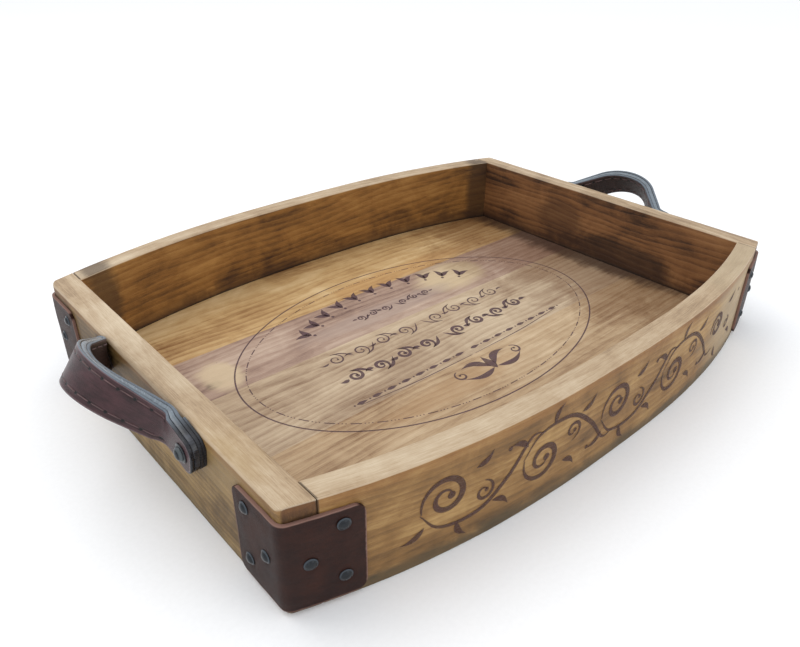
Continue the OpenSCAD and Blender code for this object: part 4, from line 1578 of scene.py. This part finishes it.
    def _loop(self, low: float, high: float, edge: float, seams: bool) -> np.ndarray:
        """Section of one layer as (across, depth) points, run round once and closed.

        Args:
            low: Depth of the side that looks outwards.
            high: Depth of the side that looks at the board.
            edge: Radius of its four edges.
            seams: Whether its outward side has furrows for the thread.

        Returns:
            The section's points.
        """
        w = self.width / 2
        inner = list(np.linspace(-w + 1.4, w - 1.4, 15))
        if seams:
            for row in self.rows:
                inner += [row + d for d in (-0.95, -0.5, 0.0, 0.5, 0.95)]
        inner.sort()
        corner = [(edge * (1 - math.sin(t)), edge * (1 - math.cos(t)))
                  for t in np.linspace(0, math.pi / 2, 4)]
        out_side = [(-w + b, low + a) for a, b in corner[:-1]]
        out_side += [(x, low + self._furrow(x) * seams) for x in [-w + edge, *inner, w - edge]]
        out_side += [(w - b, low + a) for a, b in reversed(corner[:-1])]
        in_side = [(w - b, high - a) for a, b in corner[:-1]]
        in_side += [(x, high) for x in [w - edge, *reversed(inner), -w + edge]]
        in_side += [(-w + b, high - a) for a, b in reversed(corner[:-1])]
        loop = out_side + in_side
        return np.array(loop + loop[:1])

    def _furrow(self, x: float) -> float:
        """Depth of the thread's furrows at a place across the strap."""
        return sum(0.34 * math.exp(-((x - row) / 0.6) ** 4) for row in self.rows)

    def _layer(self, name: str, low: float, high: float, edge: float, seams: bool,
               narrow: float = 0.0, span: Spot | None = None) -> bpy.types.Object:
        """Models one layer of the strap.

        Args:
            name: The piece's name.
            low: Depth of its outward side.
            high: Depth of its inward side.
            edge: Radius of its edges.
            seams: Whether it has furrows for the thread.
            narrow: How much narrower it is at each edge.
            span: Lengths that it starts and stops at; from tab to tab where it is left out.

        Returns:
            The piece.
        """
        start, stop = span or (-self.halves[0], self.halves[1])
        stations = self._stations(start, stop)
        loop = self._loop(low, high, edge, seams)
        w, cut = self.width / 2, self.tab_round
        middle = (low + high) / 2
        rings, flat = [], []
        for i, s in enumerate(stations):
            outer = self.halves[int(s >= 0)] - abs(s)
            near = min(s - start, stop - s)
            half = w if outer >= cut else w - cut + math.sqrt(cut ** 2 - (cut - outer) ** 2)
            soft = 0.0 if near >= edge else edge * (1 - math.sqrt(1 - (1 - near / edge) ** 2))
            across = loop[:, 0] / w * (half - narrow - soft)
            depth = loop[:, 1]
            if seams and abs(s) > self.holes[-1] + 1.5:
                depth = np.where(depth < middle, np.minimum(depth, np.interp(
                    abs(loop[:, 0]), [w - edge, w], [low, middle])), depth)
            depth = middle + (depth - middle) * (1 - 2 * soft / (high - low))
            if i in (0, len(stations) - 1):
                depth = np.full_like(depth, middle)
            rings.append(np.stack([np.full(len(loop), s), across, depth], axis=1))
            flat.append(np.stack([np.full(len(loop), s), across], axis=1))
        spots = np.concatenate(rings)
        piece = grid(name, len(loop) - 1, len(stations) - 1)
        moved_to(piece, self.laid(*spots.T))
        mapped(piece, np.concatenate(flat))
        tidied(piece)
        smoothed(piece, 42)
        return piece

    def _stitches(self) -> bpy.types.Object:
        """Models the visible stitches of both rows, outside and on the lining."""
        made = []
        around, steps = 8, 12
        turn = np.linspace(0, FULL_TURN, around + 1)
        for row in self.rows:
            for level, out in ((0.22, -1.0), (self.thick - 0.02, 1.0)):
                for a, b in zip(self.holes, self.holes[1:]):
                    t = (1 - np.cos(np.linspace(0, math.pi, steps + 1))) / 2
                    s = a + 0.25 + (b - a - 0.5) * t
                    swell = np.sin(np.pi * t)
                    swell[[0, -1]] = 0.0
                    sink = 1.15 * (1 - swell ** 0.35) - 0.10
                    radius = self.thread_r * np.minimum(1.0, 1.25 * swell ** 0.4)
                    drift = 0.22 * swell * (1 if out < 0 else -1)
                    ss, aa = np.meshgrid(s, turn, indexing="ij")
                    rr = radius[:, None] * np.ones_like(aa)
                    across = row + drift[:, None] + rr * np.cos(aa)
                    depth = level - out * sink[:, None] + rr * np.sin(aa)
                    thread = grid("stitch", around, steps)
                    moved_to(thread, self.laid(ss.ravel(), across.ravel(), depth.ravel()))
                    mapped(thread, np.stack([ss.ravel(), (rr * aa).ravel()], axis=1))
                    made.append(thread)
        piece = joined_pieces(f"strap_stitches_{self.name}", made)
        tidied(piece)
        smoothed(piece, 60)
        return piece

    def _pads(self, material: bpy.types.Material) -> None:
        """Builds the pads under both tabs."""
        first = [flat + self.pad_from_bend for flat in self.flats]
        twins = [self._layer("pad", self.thick, self.out, 0.45, False, 0.15, span)
                 for span in ((-self.halves[0], -first[0]), (first[1], self.halves[1]))]
        piece = joined_pieces(f"strap_pads_{self.name}", twins)
        dressed(piece, material)
        placed(piece, "tray", "lining_leather", f"handle_{self.name}_pads")

    def _fixings(self) -> None:
        """Builds the washers and the domed screws of both tabs."""
        sign = self.side.value
        ring = turned("washer", [(2.2, 0.0), (6.0, 0.0), (6.25, 0.2), (6.2, 0.6), (5.7, 0.88),
                                 (2.2, 0.9)])
        head = turned("screw", [(0.3, -25.0), (2.0, -23.0), (2.0, -0.9), (4.1, 0.0), (4.5, 0.2),
                                (4.5, 0.7), (4.2, 1.15), (3.9, 1.2), (3.5, 1.85), (2.7, 2.5),
                                (1.6, 2.88), (0.6, 2.99), (0.05, 3.0)])
        # The second tone is the painted reflection on the flanges of the screws and washers.
        metal = BlackMetalFinish(f"screw_metal_{self.name}", (24, 31, 35), (98, 104, 106)).make()
        for source, piece_name, node, lift in ((ring, "strap_washers", "washers", 0.0),
                                               (head, "strap_screws", "screws", self.washer)):
            twins = []
            ends = np.array([self.screw_from_end - self.halves[0],
                             self.halves[1] - self.screw_from_end])
            for spot in self.laid(ends, np.zeros(2), np.full(2, -lift)):
                twins.append(copied(source, aimed(Vector(spot), Vector((sign, 0, 0)))))
            piece = joined_pieces(f"{piece_name}_{self.name}", twins)
            dressed(piece, metal)
            placed(piece, "tray", "black_metal", f"handle_{self.name}_{node}")
            bpy.data.objects.remove(source)

    def build(self) -> None:
        """Builds the strap's layers, stitches and fixings."""
        n = self.name
        c, d = self.face, self.face + self.core
        face = self._layer(f"strap_face_{n}", 0.0, c, 0.75, True)
        core = self._layer(f"strap_core_{n}", c, d, 0.5, False, 0.12)
        lining = self._layer(f"strap_lining_{n}", d, self.thick, 0.6, False)
        stitches = self._stitches()
        common = {"holes": self.holes, "rows": self.rows, "half_width": self.width / 2,
                  "half_length": sum(self.halves) / 2, "tab_round": self.tab_round}
        dressed(face, StrapFinish(f"strap_leather_{n}", (36, 16, 18), (72, 42, 46),
                                  **common).make())
        inside = StrapFinish(f"lining_leather_{n}", (38, 24, 20), (66, 46, 40), grid=2.4,
                             rough=0.5, **common).make()
        dressed(lining, inside)
        dressed(core, PaintedEdgeFinish(f"edge_paint_{n}").make())
        dressed(stitches, ThreadFinish(f"waxed_thread_{n}").make())
        nodes = {"face": (face, "strap_leather"), "core": (core, "strap_filler"),
                 "lining": (lining, "lining_leather")}
        sign = self.side.value
        start = (sign * (self.half_length + self.rest_out) * MM, 0, 0)
        end = (sign * (self.half_length + self.free_out) * MM, 0, 0)
        for part, (piece, slot) in nodes.items():
            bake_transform(piece)
            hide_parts(f"handle_{n}_{part}", f"handle_{n}_end_{part}s")
            log.info("%s: %d faces", piece.name, len(piece.data.polygons))
        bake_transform(stitches)
        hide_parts(f"handle_{n}_thread")
        self._pads(inside)
        self._fixings()


# ------------------------------------------------------------------------ studio


@dataclass
class Studio:
    """Pale floor, soft lights and the camera."""

    eye: tuple[float, float, float] = (-372.48, -385.23, 327.13)
    azimuth: float = -41.513
    elevation: float = 30.184
    roll: float = 0.518
    lens: float = 32.068
    floor_radius: float = 9000.0

    def camera(self) -> None:
        """Places the camera and makes it the scene's."""
        a, b, c = (math.radians(v) for v in (self.azimuth, self.elevation, self.roll))
        back = Vector((math.sin(a) * math.cos(b), -math.cos(a) * math.cos(b), math.sin(b)))
        right = Vector((math.cos(a), math.sin(a), 0))
        up = back.cross(right)
        turned_right = right * math.cos(c) + up * math.sin(c)
        turned_up = -right * math.sin(c) + up * math.cos(c)
        only()
        bpy.ops.object.camera_add(location=Vector(self.eye) * MM)
        camera = bpy.context.active_object
        camera.name = "studio_camera"
        rotation = Matrix((turned_right, turned_up, back)).transposed()
        camera.rotation_euler = rotation.to_euler()
        camera.data.lens = self.lens
        camera.data.sensor_width = 36.0
        camera.data.clip_start = 0.01
        bpy.context.scene.camera = camera

    def _light(self, name: str, at: tuple[float, float, float], size: float, watts: float,
               tint: tuple[float, float, float]) -> None:
        """Adds a square soft light that looks at the tray."""
        only()
        bpy.ops.object.light_add(type="AREA", location=at)
        lamp = bpy.context.active_object
        lamp.name = name
        lamp.data.shape = "SQUARE"
        lamp.data.size = size
        lamp.data.energy = watts
        lamp.data.color = tint
        ahead = Vector((0, 0, 0.03)) - Vector(at)
        lamp.rotation_euler = ahead.to_track_quat("-Z", "Y").to_euler()

    def build(self) -> None:
        """Builds the studio."""
        only()
        bpy.ops.mesh.primitive_circle_add(vertices=96, radius=self.floor_radius * MM,
                                          fill_type="NGON")
        floor = started("studio_floor")
        in_edit(floor, (bpy.ops.mesh.inset, {"thickness": 1.0}))
        dressed(floor, PaperFinish().make())
        world = bpy.data.worlds.new("studio_sky")
        world.use_nodes = True
        sky = world.node_tree.nodes["Background"]
        sky.inputs[0].default_value = (0.95, 0.97, 1.0, 1)
        sky.inputs[1].default_value = 1.06
        bpy.context.scene.world = world
        self._light("key_light", (-0.5, 0.9, 1.6), 1.4, 10, (1.0, 0.99, 0.97))
        self._light("front_light", (0.6, -1.9, 1.2), 1.4, 5, (0.96, 0.98, 1.0))
        self.camera()
        bpy.context.scene.view_settings.view_transform = "Standard"


def main() -> None:
    """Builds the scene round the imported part."""
    logging.basicConfig(level=logging.INFO, format="%(name)s: %(message)s")
    noise.seed_set(WAVE_SEED)
    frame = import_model()
    outline = Outline()
    Studio().build()
    Walls(outline).build()
    Floor(frame["nodes"]).build()
    Prints(outline).build()
    CornerPatches(outline).build()
    StrapHandle(Side.LEFT, 43.0, -3.0, 68.0, (12.0, 30.0)).build()
    StrapHandle(Side.RIGHT, 33.0, -5.0, 62.0, (14.0, 14.0)).build()


if __name__ == "__main__":
    main()
